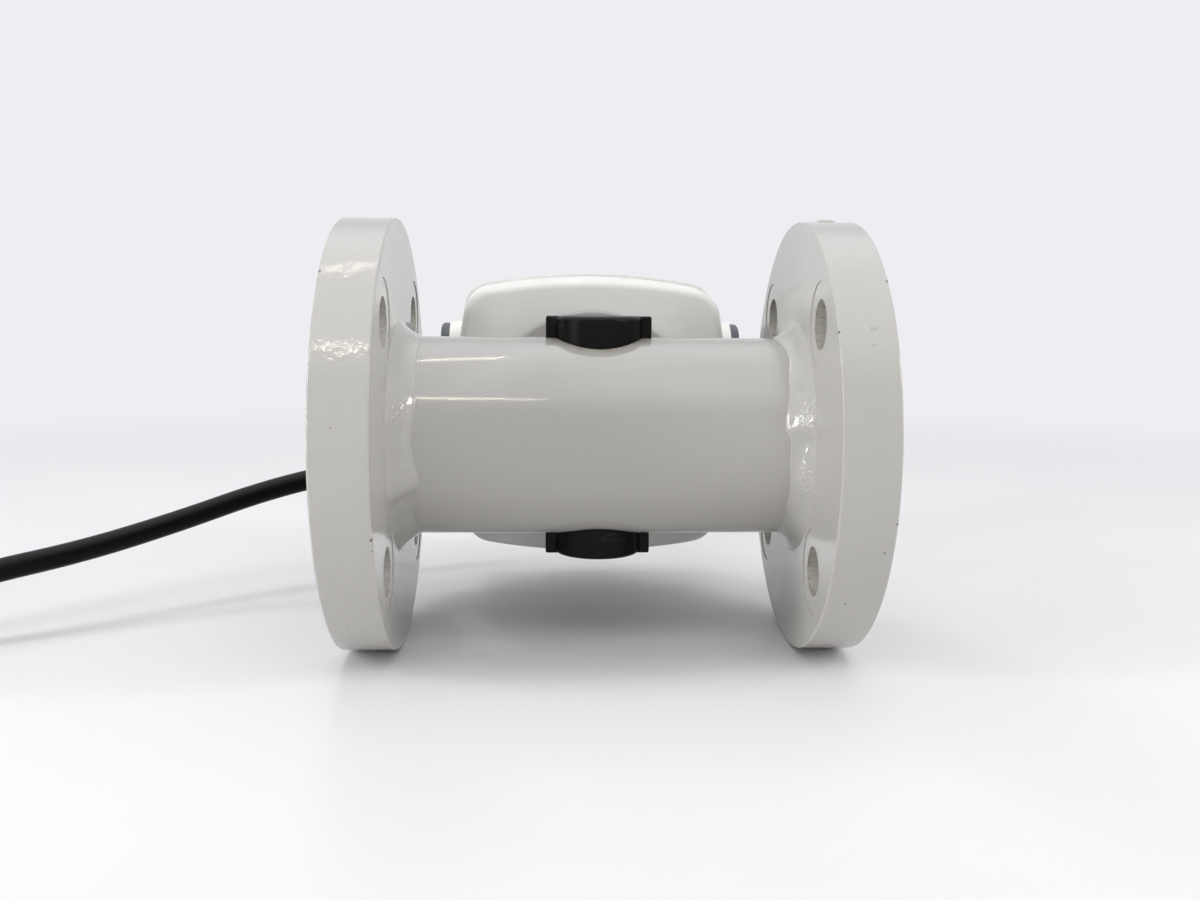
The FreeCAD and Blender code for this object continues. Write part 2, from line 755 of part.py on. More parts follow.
# ---------------------------------------------------------------- electronics
def make_main_board():
    """The electronics board on the base's four pillars."""
    board = box(-board_half_width, board_half_width, board_y, board_y + board_thickness,
                -board_half_height, board_half_height)
    hole = cylinder(board_screw_diameter / 2, (0, board_y - 1, 0), Y_AXIS, board_thickness + 2)
    for copy in at_corners(hole, pillar_offset_x, pillar_offset_z):
        board = board.cut(copy)
    return board


def make_board_screws():
    """Screws that hold the board on the pillars."""
    top = board_y + board_thickness
    shank = cylinder(board_screw_diameter / 2, (0, board_y - board_screw_grip, 0), Y_AXIS,
                     board_screw_grip + board_thickness)
    head = cylinder(board_screw_head_diameter / 2, (0, top, 0), Y_AXIS, board_screw_head_height)
    return Part.Compound(at_corners(fuse_all([shank, head]), pillar_offset_x, pillar_offset_z))


def make_board_parts():
    """The transformer, the screened radio part and the capacitors soldered on the board."""
    top = board_y + board_thickness
    blocks = []
    for x_low, x_high, height, z_low, z_high in (transformer_block, radio_shield_block):
        blocks.append(box(x_low, x_high, top, top + height, z_low, z_high))
    capacitors = [cylinder(capacitor_diameter / 2, (x, top, z), Y_AXIS, capacitor_height)
                  for x, z in capacitor_places]
    return Part.Compound(blocks + capacitors)


def make_terminal_block():
    """The terminal strip along the board's lower half."""
    top = board_y + board_thickness
    low = terminal_z - terminal_height / 2
    strip = box(-terminal_length / 2, terminal_length / 2, top, top + terminal_depth, low,
                low + terminal_height)
    for way in range(terminal_ways):
        x = (way - (terminal_ways - 1) / 2) * terminal_pitch
        clamp = cylinder(terminal_clamp_diameter / 2,
                         (x, top + terminal_depth - terminal_clamp_depth, terminal_z), Y_AXIS,
                         terminal_clamp_depth + 1)
        entry = box(x - terminal_entry_width / 2, x + terminal_entry_width / 2, top + 2,
                    top + 2 + terminal_entry_width, low - 1, low + terminal_entry_depth)
        strip = strip.cut(clamp).cut(entry)
    return strip


# ---------------------------------------------------------------- cable entries
def make_blanking_plug():
    """The upper right plug: a slotted disc with a ring groove and a shank in the entry."""
    head = cylinder(plug_head_diameter / 2, (entry_collar_end_x, entry_y, entry_z), X_AXIS,
                    plug_head_thickness)
    outer_x = entry_collar_end_x + plug_head_thickness
    head = head.makeChamfer(plug_edge_chamfer, [edge for edge in head.Edges
                                                if lies_at(edge, "X", outer_x)])
    shank = cylinder(entry_hole_diameter / 2, (entry_collar_end_x - plug_shank_length, entry_y,
                                               entry_z), X_AXIS, plug_shank_length)
    slot = box(outer_x - plug_slot_depth, outer_x + 1, entry_y - plug_slot_width / 2,
               entry_y + plug_slot_width / 2, entry_z - plug_head_diameter,
               entry_z + plug_head_diameter)
    return fuse_all([head, shank]).cut(slot).cut(entry_seal_space(entry_collar_end_x))


def entry_seal_space(x_low):
    """The ring groove under a plug's or a gland's head, against the collar's face."""
    return ring(entry_hole_diameter / 2 + seal_ring_width, entry_hole_diameter / 2,
                (x_low, entry_y, entry_z), X_AXIS, seal_ring_depth)


def make_plug_seal():
    """The flat ring that fills the groove under the upper right plug."""
    return entry_seal_space(entry_collar_end_x)


def gland_to_entry(shape):
    """Moves a gland piece, built at the upper right entry, to the lower left one."""
    return mirrored_x(mirrored_z(shape))


def gland_hex_end():
    return entry_collar_end_x + gland_hex_length


def make_gland_body():
    """The gland's body: thread in the entry, hexagon on the collar, nose for the nut."""
    base = (entry_collar_end_x, entry_y, entry_z)
    tail = cylinder(gland_thread_diameter / 2, (entry_collar_end_x - gland_tail_length, entry_y,
                                                entry_z), X_AXIS, gland_tail_length)
    flats = hexagon(gland_flats, base, X_AXIS, gland_hex_length)
    nose = cylinder(gland_nose_diameter / 2, (gland_hex_end(), entry_y, entry_z), X_AXIS,
                    gland_nose_length)
    body = fuse_all([tail, flats, nose])
    body = body.cut(cylinder(gland_body_bore / 2, (0, entry_y, entry_z), X_AXIS, face_to_face))
    body = body.cut(gland_seal_space())
    return body.cut(entry_seal_space(entry_collar_end_x))


def gland_seal_space():
    """Where the rubber insert sits: inside the nose and a little past it."""
    start = gland_hex_end() + gland_nose_length - seal_insert_length + 2
    return cylinder(gland_nose_diameter / 2 - 1.6, (start, entry_y, entry_z), X_AXIS,
                    seal_insert_length)


def make_gland_seal():
    """The rubber insert squeezed round the cable."""
    hole = cylinder(cable_radius, (0, entry_y, entry_z), X_AXIS, face_to_face)
    return gland_seal_space().cut(hole)


def make_gland_nut():
    """The dome nut over the nose, with flats and a rounded mouth."""
    start = gland_hex_end()
    seal_end = gland_seal_space().BoundBox.XMax
    flats = hexagon(gland_flats, (start, entry_y, entry_z), X_AXIS, gland_nut_length * 0.55)
    barrel = cylinder(gland_flats / 2 - 0.3, (start, entry_y, entry_z), X_AXIS, gland_nut_length)
    barrel = round_edges(barrel, 3.2, lambda edge: lies_at(edge, "X", start + gland_nut_length))
    nut = fuse_all([flats, barrel])
    cavity = cylinder(gland_nose_diameter / 2 + gland_nut_clearance, (start - 1, entry_y, entry_z),
                      X_AXIS, seal_end - start + 1)
    mouth = cylinder(gland_nut_mouth_diameter / 2, (start, entry_y, entry_z), X_AXIS,
                     gland_nut_length + 1)
    return nut.cut(cavity).cut(mouth)


# ---------------------------------------------------------------- cable
def cable_start():
    """Where the cable leaves the rubber insert, in the lower left gland's mouth."""
    return Vector(-gland_seal_space().BoundBox.XMax, entry_y, -entry_z)


def coil_reach():
    """How far the coil's straight ends reach past its centre, to be clear of its turns."""
    nearest = coil_line - cable_radius
    return math.sqrt(coil_outer_radius ** 2 - nearest ** 2) + coil_stub_length


def coil_entry():
    """Where the cable meets the coil's outermost turn."""
    return Vector(coil_centre[0] + coil_reach(), coil_centre[1] - coil_line,
                  floor_level + cable_radius)


def cable_points():
    """The cable's route, from the gland to the coil's stub."""
    middle = [Vector(x, y, floor_level + height) for x, y, height in cable_route]
    return [cable_start()] + middle + [coil_entry()]


def make_cable():
    """The free cable: straight runs joined by the largest tangent arcs that fit."""
    points = cable_points()
    edges = []
    length = 0.0
    start = points[0]
    for before, corner, after in zip(points, points[1:], points[2:]):
        arriving = corner - before
        leaving = after - corner
        shorter = min(arriving.Length, leaving.Length)
        arriving.normalize()
        leaving.normalize()
        half_turn = arriving.getAngle(leaving) / 2
        setback = 0.45 * shorter
        radius = setback / math.tan(half_turn)
        arc_start = corner - arriving * setback
        arc_end = corner + leaving * setback
        inward = leaving - arriving
        inward.normalize()
        arc_middle = corner + inward * (radius / math.cos(half_turn) - radius)
        edges.append(Part.LineSegment(start, arc_start).toShape())
        edges.append(Part.Arc(arc_start, arc_middle, arc_end).toShape())
        length += (arc_start - start).Length + radius * 2 * half_turn
        start = arc_end
        print("cable bend radius %.1f, run %.1f" % (radius, (corner - before).Length))
    edges.append(Part.LineSegment(start, points[-1]).toShape())
    length += (points[-1] - start).Length
    heading = points[1] - points[0]
    heading.normalize()
    profile = Part.Wire([Part.makeCircle(cable_radius, points[0], heading)])
    tube = Part.Wire(edges).makePipeShell([profile], True, False)
    print("cable length %.1f, volume ratio %.4f" % (
        length, tube.Volume / (math.pi * cable_radius ** 2 * length)))
    return tube


def make_cable_coil():
    """The outer shape of the coiled rest of the cable, with the two ends that leave it."""
    inner = coil_mean_radius - coil_band / 2
    base = (coil_centre[0], coil_centre[1], floor_level)
    band = ring(coil_outer_radius, inner, base, Z_AXIS, coil_height)
    band = round_edges(band, cable_radius * 0.9, lambda edge: len(edge.Vertexes) == 1)
    arriving = cylinder(cable_radius, coil_entry(), X_AXIS * -1, coil_reach())
    leaving = cylinder(cable_radius, coil_exit(), X_AXIS * -1, coil_reach())
    return fuse_all([band, arriving, leaving])


def coil_exit():
    """The sheath's bare end, on the coil's other side."""
    return Vector(coil_centre[0] + coil_reach(), coil_centre[1] + coil_line,
                  floor_level + cable_radius)


def core_places():
    """Where the three cores stand round the cable's axis at its bare end."""
    end = coil_exit()
    places = []
    for number in range(core_count):
        angle = math.radians(90 + 360.0 / core_count * number)
        places.append((end.x, end.y + core_spread * math.cos(angle),
                       end.z + core_spread * math.sin(angle)))
    return places


def make_cable_cores():
    """The insulated cores that stand out of the sheath."""
    return Part.Compound([cylinder(core_diameter / 2, place, X_AXIS, core_length)
                          for place in core_places()])


def make_wire_ferrules():
    """The crimped ferrules on the cores."""
    ferrules = []
    for x, y, z in core_places():
        ferrules.append(cylinder(ferrule_diameter / 2, (x + core_length, y, z), X_AXIS,
                                 ferrule_length))
    return Part.Compound(ferrules)


# ---------------------------------------------------------------- all pieces
inlet_lumps = [(147, 14, 1.6, -0.6), (193, 12, 2.3, 2.2), (230, 14, -1.4, -0.6),
               (95, 20, -0.3, 0.8), (60, 25, 0.7, 0.5), (330, 20, -0.8, 0.4)]
outlet_lumps = [(166, 10, 2.7, 0.6), (116, 16, -1.1, -0.9), (202, 14, -0.8, 0.5),
                (244, 20, -0.2, 1.2), (40, 22, 0.8, 0.4), (300, 24, -0.6, 0.8)]

outlet_flange = make_flange()
upper_cap = make_electrode_cap()
upper_seal = make_cap_seal()
upper_electrode = make_electrode()
upper_socket = make_electrode_socket()
upper_bush = make_electrode_bush()
upper_nut = make_electrode_nut()
far_coil = make_field_coil()
far_shoe = make_pole_shoe()
right_plug = make_blanking_plug()
right_seal = make_plug_seal()

parts = {
    "inlet_flange": mirrored_x(outlet_flange),
    "outlet_flange": outlet_flange,
    "inlet_weld": mirrored_x(make_weld(inlet_lumps)),
    "outlet_weld": make_weld(outlet_lumps),
    "outer_tube": make_outer_tube(),
    "measuring_pipe": make_measuring_pipe(),
    "liner": make_liner(),
    "field_coil_far": far_coil,
    "field_coil_near": mirrored_y(far_coil),
    "pole_shoe_far": far_shoe,
    "pole_shoe_near": mirrored_y(far_shoe),
    "electrode_upper": upper_electrode,
    "electrode_lower": mirrored_z(upper_electrode),
    "electrode_socket_upper": upper_socket,
    "electrode_socket_lower": mirrored_z(upper_socket),
    "electrode_bush_upper": upper_bush,
    "electrode_bush_lower": mirrored_z(upper_bush),
    "electrode_nuts": Part.Compound([upper_nut, mirrored_z(upper_nut)]),
    "electrode_cap_upper": upper_cap,
    "electrode_cap_lower": mirrored_z(upper_cap),
    "cap_seals": Part.Compound([upper_seal, mirrored_z(upper_seal)]),
    "neck_tube": make_neck_tube(),
    "neck_weld": make_neck_weld(),
    "mounting_plate": make_mounting_plate(),
    "housing_gasket": make_housing_gasket(),
    "housing_screws": make_housing_screws(),
    "converter_base": make_converter_base(),
    "lid_gasket": make_lid_gasket(),
    "converter_lid": make_converter_lid(),
    "lid_screws": make_lid_screws(),
    "display_window": make_display_window(),
    "display_module": make_display_module(),
    "main_board": make_main_board(),
    "board_screws": make_board_screws(),
    "board_components": make_board_parts(),
    "terminal_block": make_terminal_block(),
    "blanking_plug_right_upper": right_plug,
    "blanking_plug_right_lower": mirrored_z(right_plug),
    "blanking_plug_left_upper": mirrored_x(right_plug),
    "entry_seals": Part.Compound([right_seal, mirrored_z(right_seal), mirrored_x(right_seal),
                                  gland_to_entry(right_seal)]),
    "gland_body": gland_to_entry(make_gland_body()),
    "gland_seal": gland_to_entry(make_gland_seal()),
    "gland_nut": gland_to_entry(make_gland_nut()),
    "cable": make_cable(),
    "cable_coil": make_cable_coil(),
    "cable_cores": make_cable_cores(),
    "wire_ferrules": make_wire_ferrules(),
}

os.makedirs("parts", exist_ok=True)
for name, shape in parts.items():
    shape.exportStep(os.path.join("parts", name + ".step"))
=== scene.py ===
# %% [markdown]
# # An electromagnetic flow meter in a small studio
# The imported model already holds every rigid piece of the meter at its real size. This
# notebook gives those pieces their finishes, makes what is soft or laid by hand (the cable,
# the two weld beads, the drops in the paint), and then sets up the floor, lamps and camera.

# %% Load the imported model
import json
import math

import bmesh
import bpy
from mathutils import Matrix, Vector, noise


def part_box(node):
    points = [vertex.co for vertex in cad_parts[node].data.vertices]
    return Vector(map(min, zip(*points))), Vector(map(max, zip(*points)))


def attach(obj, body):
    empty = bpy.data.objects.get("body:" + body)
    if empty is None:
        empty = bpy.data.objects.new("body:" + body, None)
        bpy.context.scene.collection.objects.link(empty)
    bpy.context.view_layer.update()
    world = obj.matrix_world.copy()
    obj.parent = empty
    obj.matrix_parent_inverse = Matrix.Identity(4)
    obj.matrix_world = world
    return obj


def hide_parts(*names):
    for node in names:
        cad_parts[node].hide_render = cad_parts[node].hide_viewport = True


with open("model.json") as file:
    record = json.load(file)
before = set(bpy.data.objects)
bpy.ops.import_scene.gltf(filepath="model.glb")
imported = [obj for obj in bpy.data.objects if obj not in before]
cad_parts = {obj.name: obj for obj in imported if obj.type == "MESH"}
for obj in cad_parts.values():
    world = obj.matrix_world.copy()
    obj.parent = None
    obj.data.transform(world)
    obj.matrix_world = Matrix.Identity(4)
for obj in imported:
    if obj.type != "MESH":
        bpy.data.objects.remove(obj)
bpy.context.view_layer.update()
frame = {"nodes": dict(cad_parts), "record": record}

MM = 0.001
print("nodes in the model:", len(frame["nodes"]))

# %% [markdown]
# ## The camera
# The camera comes before anything else, because the cable's slack has to be put away just
# outside its view. It could be typed in as a place and three angles, but it is easier to judge
# as an orbit round a point: how far round, how high, how far away, and how much the horizon
# tilts. The lens is for a 36 mm wide sensor.

# %% Place the camera
VIEW_TARGET = Vector((0.93, 0.0, -5.94)) * MM
VIEW_AZIMUTH = math.radians(-2.39)
VIEW_ELEVATION = math.radians(7.39)
VIEW_ROLL = math.radians(0.42)
VIEW_DISTANCE = 453.5 * MM
SENSOR_WIDTH = 36.0
LENS = 34.73


def place_camera():
    """Looks at the target from an orbit, with a small roll about the line of sight."""
    back = Vector((math.sin(VIEW_AZIMUTH) * math.cos(VIEW_ELEVATION),
                   -math.cos(VIEW_AZIMUTH) * math.cos(VIEW_ELEVATION),
                   math.sin(VIEW_ELEVATION)))
    level = Vector((math.cos(VIEW_AZIMUTH), math.sin(VIEW_AZIMUTH), 0.0))
    rise = back.cross(level)
    right = level * math.cos(VIEW_ROLL) + rise * math.sin(VIEW_ROLL)
    up = rise * math.cos(VIEW_ROLL) - level * math.sin(VIEW_ROLL)
    turn = Matrix((right, up, back)).transposed().to_4x4()
    data = bpy.data.cameras.new("camera")
    data.sensor_width = SENSOR_WIDTH
    data.lens = LENS
    data.clip_start = 10 * MM
    camera = bpy.data.objects.new("camera", data)
    camera.matrix_world = Matrix.Translation(VIEW_TARGET + back * VIEW_DISTANCE) @ turn
    bpy.context.collection.objects.link(camera)
    bpy.context.scene.camera = camera
    return camera


camera = place_camera()
print("camera at", [round(c, 3) for c in camera.matrix_world.translation])

# %% [markdown]
# ## The cable's route
# The cable is round, rubber sheathed and 9.5 mm thick. It leaves the gland level, bends down
# under its own weight and comes forward to the floor. A tube bent from arcs would look like
# wire, so its line will be one NURBS spline, which passes smoothly near a few given points.
# The points are in millimetres, and the last two lie half a diameter above the floor.

# %% Cable route
FLOOR_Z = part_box("inlet_flange")[0][2]
CABLE_DIAMETER = 9.5 * MM
CABLE_ROUTE = [
    (-81.0, 98.0, -29.0),
    (-116.0, 98.0, -29.0),
    (-150.0, 85.5, -36.0),
    (-183.0, 59.5, -46.0),
    (-213.0, 31.5, -53.0),
    (-243.0, 1.0, -56.0),
    (-275.0, -23.0, -64.5),
    (-308.0, -32.25, -77.75),
    (-334.3, -32.25, -77.75),
]
print("from gland to floor the cable comes down", CABLE_ROUTE[0][2] - CABLE_ROUTE[-1][2], "mm")

# %% [markdown]
# ## The coil
# The rest of the cable's 1.2 m is put away in a round coil just outside the view. A flat
# spiral would take up more floor, so the turns lie in two lanes and on top of each other. They
# are simply more points of the same spline. Each turn eases from one lane or level to the
# next, so that no two turns lie in each other, and the last point is the bare end.

# %% Coil
COIL_CENTRE_X = -369.0
COIL_CENTRE_Y = 24.0
COIL_TURNS = 2.5
POINTS_PER_TURN = 16
OUTER, INNER, UPPER = 56.9, 47.1, 9.9
# Each pair is a number of turns and the radius, or the height above the floor line, there.
TURN_RADII = [(0.0, OUTER), (0.02, OUTER), (0.25, INNER), (1.49, INNER), (1.67, OUTER),
              (2.5, OUTER)]
TURN_LEVELS = [(0.0, 0.0), (0.8, 0.0), (1.08, UPPER), (1.57, UPPER), (1.77, 0.0), (1.94, UPPER),
               (2.08, UPPER), (2.36, 0.0), (2.5, 0.0)]
BARE_END = (-334.3, 80.25, -77.75)


def between(steps, turns):
    """The value after so many turns, easing from each step to the next."""
    for (start, low), (end, high) in zip(steps, steps[1:]):
        if turns <= end:
            share = (turns - start) / (end - start)
            return low + (high - low) * share * share * (3 - 2 * share)
    return steps[-1][1]


def coil_points():
    """The turns, clockwise from where the cable arrives, and then its bare end."""
    points = []
    floor_line = CABLE_ROUTE[-1][2]
    for step in range(int(COIL_TURNS * POINTS_PER_TURN) + 1):
        turns = step / POINTS_PER_TURN
        angle = -math.pi / 2 - 2 * math.pi * turns
        radius = between(TURN_RADII, turns)
        points.append((COIL_CENTRE_X + radius * math.cos(angle),
                       COIL_CENTRE_Y + radius * math.sin(angle),
                       floor_line + between(TURN_LEVELS, turns)))
    return points + [BARE_END]


print("points in the coil:", len(coil_points()))

# %% [markdown]
# ## One spline for the whole cable
# A curve with a round bevel gives the sheath its thickness while the line stays one spline. The
# bevel is a metre deep and each point's radius scales it down to the cable's own, because a
# curve's box counts the radius of its points, and the usual radius of 1 would make that box
# two metres too wide. The order and the fixed ends are set after the points are there: set
# before, they leave the line in straight runs.

# %% Make the cable
def make_cable():
    """One open spline with a round bevel, and its length."""
    curve = bpy.data.curves.new("cable_line", "CURVE")
    curve.dimensions = "3D"
    curve.bevel_depth = 1.0
    curve.bevel_resolution = 8
    curve.resolution_u = 8
    curve.use_fill_caps = True
    spline = curve.splines.new("NURBS")
    route = CABLE_ROUTE + coil_points()
    spline.points.add(len(route) - 1)
    for point, place in zip(spline.points, route):
        point.co = (place[0] * MM, place[1] * MM, place[2] * MM, 1.0)
        point.radius = CABLE_DIAMETER / 2
    spline.order_u = 3
    spline.use_endpoint_u = True
    cable = bpy.data.objects.new("cable_line", curve)
    bpy.context.collection.objects.link(cable)
    return cable, spline.calc_length()


cable, cable_length = make_cable()
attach(cable, "root")
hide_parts("cable", "cable_coil")
print("cable length", round(cable_length, 3), "m")

# %% [markdown]
# ## Helpers for nodes
# Colours are written as hex, the way a paint chart gives them, and one function turns them to
# the linear values that a shader works in. Patterns read Object coordinates, which are metres
# here, so another function turns a width in millimetres into the Scale of a pattern. A third
# adds a node with its settings and links, and the last two start and end a material.

# %% Colour, pattern and node helpers
def colour(code):
    """An sRGB hex colour as linear RGBA."""
    channels = []
    for start in (0, 2, 4):
        value = int(code[start:start + 2], 16) / 255
        channels.append(value / 12.92 if value <= 0.04045 else ((value + 0.055) / 1.055) ** 2.4)
    return (*channels, 1.0)


def per(width):
    """The Scale that makes a pattern's features so many millimetres wide."""
    return 1 / (width * MM)


def add(tree, kind, settings=None, links=None):
    """Adds a node, sets its sockets or properties by name or number, and links its inputs."""
    node = tree.nodes.new("ShaderNode" + kind)
    for name, value in (settings or {}).items():
        if isinstance(name, int) or name in node.inputs:
            node.inputs[name].default_value = value
        else:
            setattr(node, name, value)
    for name, source in (links or {}).items():
        tree.links.new(source, node.inputs[name])
    return node


def start_material(name):
    """A material with its principled shader, and the object coordinates that patterns read."""
    material = bpy.data.materials.new(name)
    material.use_nodes = True
    tree = material.node_tree
    tree.nodes.clear()
    shader = add(tree, "BsdfPrincipled")
    add(tree, "OutputMaterial", links={"Surface": shader.outputs[0]})
    place = add(tree, "TexCoord").outputs["Object"]
    return material, tree, shader, place


def show_instead(tree, surface):
    """Links a mix of shaders to the output, in place of the principled shader alone."""
    output = next(node for node in tree.nodes if node.type == "OUTPUT_MATERIAL")
    tree.links.new(surface.outputs[0], output.inputs["Surface"])


print("colour C9C9C5 is", [round(c, 3) for c in colour("C9C9C5")], "and 4 mm is scale", per(4))

# %% [markdown]
# ## Finishes built up in layers
# A real finish is laid on in layers: a ground colour that is never quite even, marks over it,
# a gloss that drifts, and one unevenness on top of another. One long function for each finish
# would repeat most of this, so each layer is a function that works on whatever the shader
# already has. Widths and depths are in millimetres.

# %% Layers of a finish
def cloud_colours(tree, shader, place, width, detail, main, shade):
    """A base colour that drifts between two shades, in clouds of that width."""
    cloud = add(tree, "TexNoise", {"Scale": per(width), "Detail": detail}, {"Vector": place})
    tint = add(tree, "Mix", {"data_type": "RGBA", 6: colour(main), 7: colour(shade)},
               {0: cloud.outputs["Fac"]})
    tree.links.new(tint.outputs[2], shader.inputs["Base Color"])


def colour_over(tree, shader, mask, code):
    """Another colour over the base colour, as far as the mask says."""
    below = shader.inputs["Base Color"].links[0].from_socket
    both = add(tree, "Mix", {"data_type": "RGBA", 7: colour(code)}, {0: mask, 6: below})
    tree.links.new(both.outputs[2], shader.inputs["Base Color"])


def vary_roughness(tree, shader, place, width, detail, low, high):
    """A roughness that drifts between two values, in patches of that width."""
    patch = add(tree, "TexNoise", {"Scale": per(width), "Detail": detail}, {"Vector": place})
    rough = add(tree, "MapRange", {"To Min": low, "To Max": high},
                {"Value": patch.outputs["Fac"]})
    tree.links.new(rough.outputs[0], shader.inputs["Roughness"])


def add_bump(tree, shader, height, depth, sunk=False):
    """One more bump over those that the shader already has."""
    bump = add(tree, "Bump", {"Distance": depth * MM, "invert": sunk}, {"Height": height})
    normal = shader.inputs["Normal"]
    if normal.is_linked:
        tree.links.new(normal.links[0].from_socket, bump.inputs["Normal"])
    tree.links.new(bump.outputs[0], normal)


def add_grain(tree, shader, place, width, detail, depth):
    """A noise of that width as one more bump."""
    grain = add(tree, "TexNoise", {"Scale": per(width), "Detail": detail}, {"Vector": place})
    add_bump(tree, shader, grain.outputs["Fac"], depth)


print("layers: clouds, a colour over them, roughness, bump and grain")

# %% [markdown]
# ## Gloss paint on steel
# Flanges, tube and welds are sprayed together with a thick two-part gloss paint in light grey.
# It levels into a faint orange peel about 3 mm across, over slower waves from the surface
# below, so reflections have trembling edges. Here and there it has a pinhole. The colour
# barely changes, so nearly all of the look comes from the low roughness and the two bumps.
# One function mixes the paint, because each piece wears it a little thicker or smoother.

# %% Gloss paint
PAINT_LIGHT = "B6B4B0"
PAINT_DULL = "B1AFAA"
PINHOLE = "4E4A42"
# Widths of the patterns in the paint, in millimetres.
CLOUD = 55.0
HAZE = 30.0
SLOW_WAVE = 13.0
ORANGE_PEEL = 3.0
PINHOLE_SPACING = 21.0
# A pinhole is open up to the first share of that spacing, and gone at the second.
PINHOLE_OPEN, PINHOLE_GONE = 0.012, 0.022
PINHOLE_DEPTH = 0.15
GLOSSIEST, DULLEST = 0.07, 0.15


def gloss_paint(name, peel_depth=0.03, wave_depth=0.16, light=PAINT_LIGHT, dull=PAINT_DULL):
    """Two-part gloss paint: clouded colour, pinholes, slow waves and orange peel."""
    material, tree, shader, place = start_material(name)
    cloud_colours(tree, shader, place, CLOUD, 3.0, light, dull)
    cells = add(tree, "TexVoronoi", {"Scale": per(PINHOLE_SPACING)}, {"Vector": place})
    hole = add(tree, "MapRange", {"From Min": PINHOLE_OPEN, "From Max": PINHOLE_GONE,
                                  "To Min": 1.0, "To Max": 0.0},
               {"Value": cells.outputs["Distance"]})
    colour_over(tree, shader, hole.outputs[0], PINHOLE)
    vary_roughness(tree, shader, place, HAZE, 4.0, GLOSSIEST, DULLEST)
    add_grain(tree, shader, place, SLOW_WAVE, 1.0, wave_depth)
    add_grain(tree, shader, place, ORANGE_PEEL, 1.5, peel_depth)
    add_bump(tree, shader, hole.outputs[0], PINHOLE_DEPTH, sunk=True)
    return material, tree, shader, place


plate_paint = gloss_paint("gloss_paint")[0]
print("paint:", plate_paint.name)

# %% [markdown]
# ## Paint over the welds
# On a weld the same paint lies thick and uneven, so both of its bumps are deeper. Where the arc
# was struck again the steel below has fine ripples, which sparkle through the paint. Modelling
# them would take thousands of faces, so they are a bump, faded out round one place. Folding
# the coordinates to their absolute values repeats that place at both flanges.

# %% Weld paint
# Where the arc was struck again: X, Y and Z, all taken as positive.
RESTART = (78 * MM, 39 * MM, 12 * MM)
RIPPLE = 1.6
RIPPLE_DEPTH = 0.8
# How far from the restart the ripples are still full, and where they have gone.
RIPPLES_FULL, RIPPLES_GONE = 4 * MM, 11 * MM


def weld_material():
    """Thick paint, with fine ripples where the arc was struck again."""
    material, tree, shader, place = gloss_paint("gloss_paint_over_weld", 0.07, 0.4)
    folded = add(tree, "VectorMath", {"operation": "ABSOLUTE"}, {0: place})
    away = add(tree, "VectorMath", {"operation": "DISTANCE", 1: RESTART},
               {0: folded.outputs[0]})
    near = add(tree, "MapRange", {"interpolation_type": "SMOOTHSTEP", "From Min": RIPPLES_GONE,
                                  "From Max": RIPPLES_FULL}, {"Value": away.outputs["Value"]})
    ripple = add(tree, "TexNoise", {"Scale": per(RIPPLE), "Detail": 1.0}, {"Vector": place})
    rough = add(tree, "Math", {"operation": "MULTIPLY"},
                {0: ripple.outputs["Fac"], 1: near.outputs[0]})
    add_bump(tree, shader, rough.outputs[0], RIPPLE_DEPTH)
    return material


weld_paint = weld_material()
print("paint on the welds:", weld_paint.name)

# %% [markdown]
# ## A brown line round the caps
# The tube is smoother than the plates, and so is the paint on it. Where a cap meets it, the
# paint is darker and brownish in a thin line, which fades within a few millimetres. It could
# be painted on by hand, but the mask is simply the distance from the cap's axis, broken up by
# a small noise.

# %% Tube paint
TUBE_LIGHT = "B5B3AF"
TUBE_DULL = "B0AEA9"
# A darker, brownish line round the caps, fading out within a few millimetres of them.
CAP_LINE_BROWN = "8D7F6C"
CAP_RADIUS = (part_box("electrode_cap_upper")[1][1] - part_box("electrode_cap_upper")[0][1]) / 2
CAP_LINE_FULL, CAP_LINE_GONE = CAP_RADIUS - 0.2 * MM, CAP_RADIUS + 2.6 * MM
# Noise of that width, in mm, moves the line's edge by up to the shift each way.
CAP_LINE_PATCH = 4.0
CAP_LINE_SHIFT = 3 * MM
CAP_LINE_SHARE = 0.55


def tube_paint():
    """Gloss paint, darker and brownish in a thin line round both caps."""
    material, tree, shader, place = gloss_paint("gloss_paint_on_tube", 0.03, 0.08,
                                                TUBE_LIGHT, TUBE_DULL)
    parts = add(tree, "SeparateXYZ", links={"Vector": place})
    flat = add(tree, "CombineXYZ", links={"X": parts.outputs["X"], "Y": parts.outputs["Y"]})
    reach = add(tree, "VectorMath", {"operation": "LENGTH"}, {0: flat.outputs[0]})
    patch = add(tree, "TexNoise", {"Scale": per(CAP_LINE_PATCH), "Detail": 3.0}, {"Vector": place})
    ragged = add(tree, "Math", {"operation": "MULTIPLY_ADD", 1: 2 * CAP_LINE_SHIFT, 2: -CAP_LINE_SHIFT},
                 {0: patch.outputs["Fac"]})
    edge = add(tree, "Math", {"operation": "ADD"},
               {0: reach.outputs["Value"], 1: ragged.outputs[0]})
    cap_line = add(tree, "MapRange", {"From Min": CAP_LINE_FULL, "From Max": CAP_LINE_GONE,
                                   "To Min": CAP_LINE_SHARE, "To Max": 0.0},
                {"Value": edge.outputs[0]})
    colour_over(tree, shader, cap_line.outputs[0], CAP_LINE_BROWN)
    return material


tube_skin = tube_paint()
# The darker brownish line round the caps starts at this distance from their axis.
print("dust starts", round(CAP_RADIUS / MM, 1), "mm from the caps' axis")

# %% [markdown]
# ## The flanges' rims
# A flange's rim is left as it was forged and only painted over, so it is a little lumpy where
# the machined faces are flat. The lumps are a bump that a mask keeps to the rim, by distance
# from the axis. Small chips along the rim's edges show the dark primer. Noise would spread
# them evenly, so their places are listed one by one.

# %% Uneven rims and chips
RIM_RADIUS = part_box("outlet_flange")[1][2]
RIM_STARTS, RIM_FULL = RIM_RADIUS - 1.1 * MM, RIM_RADIUS - 0.2 * MM
FORGED_LUMP = 4.5
FORGED_DEPTH = 0.24
PRIMER = "5B5850"
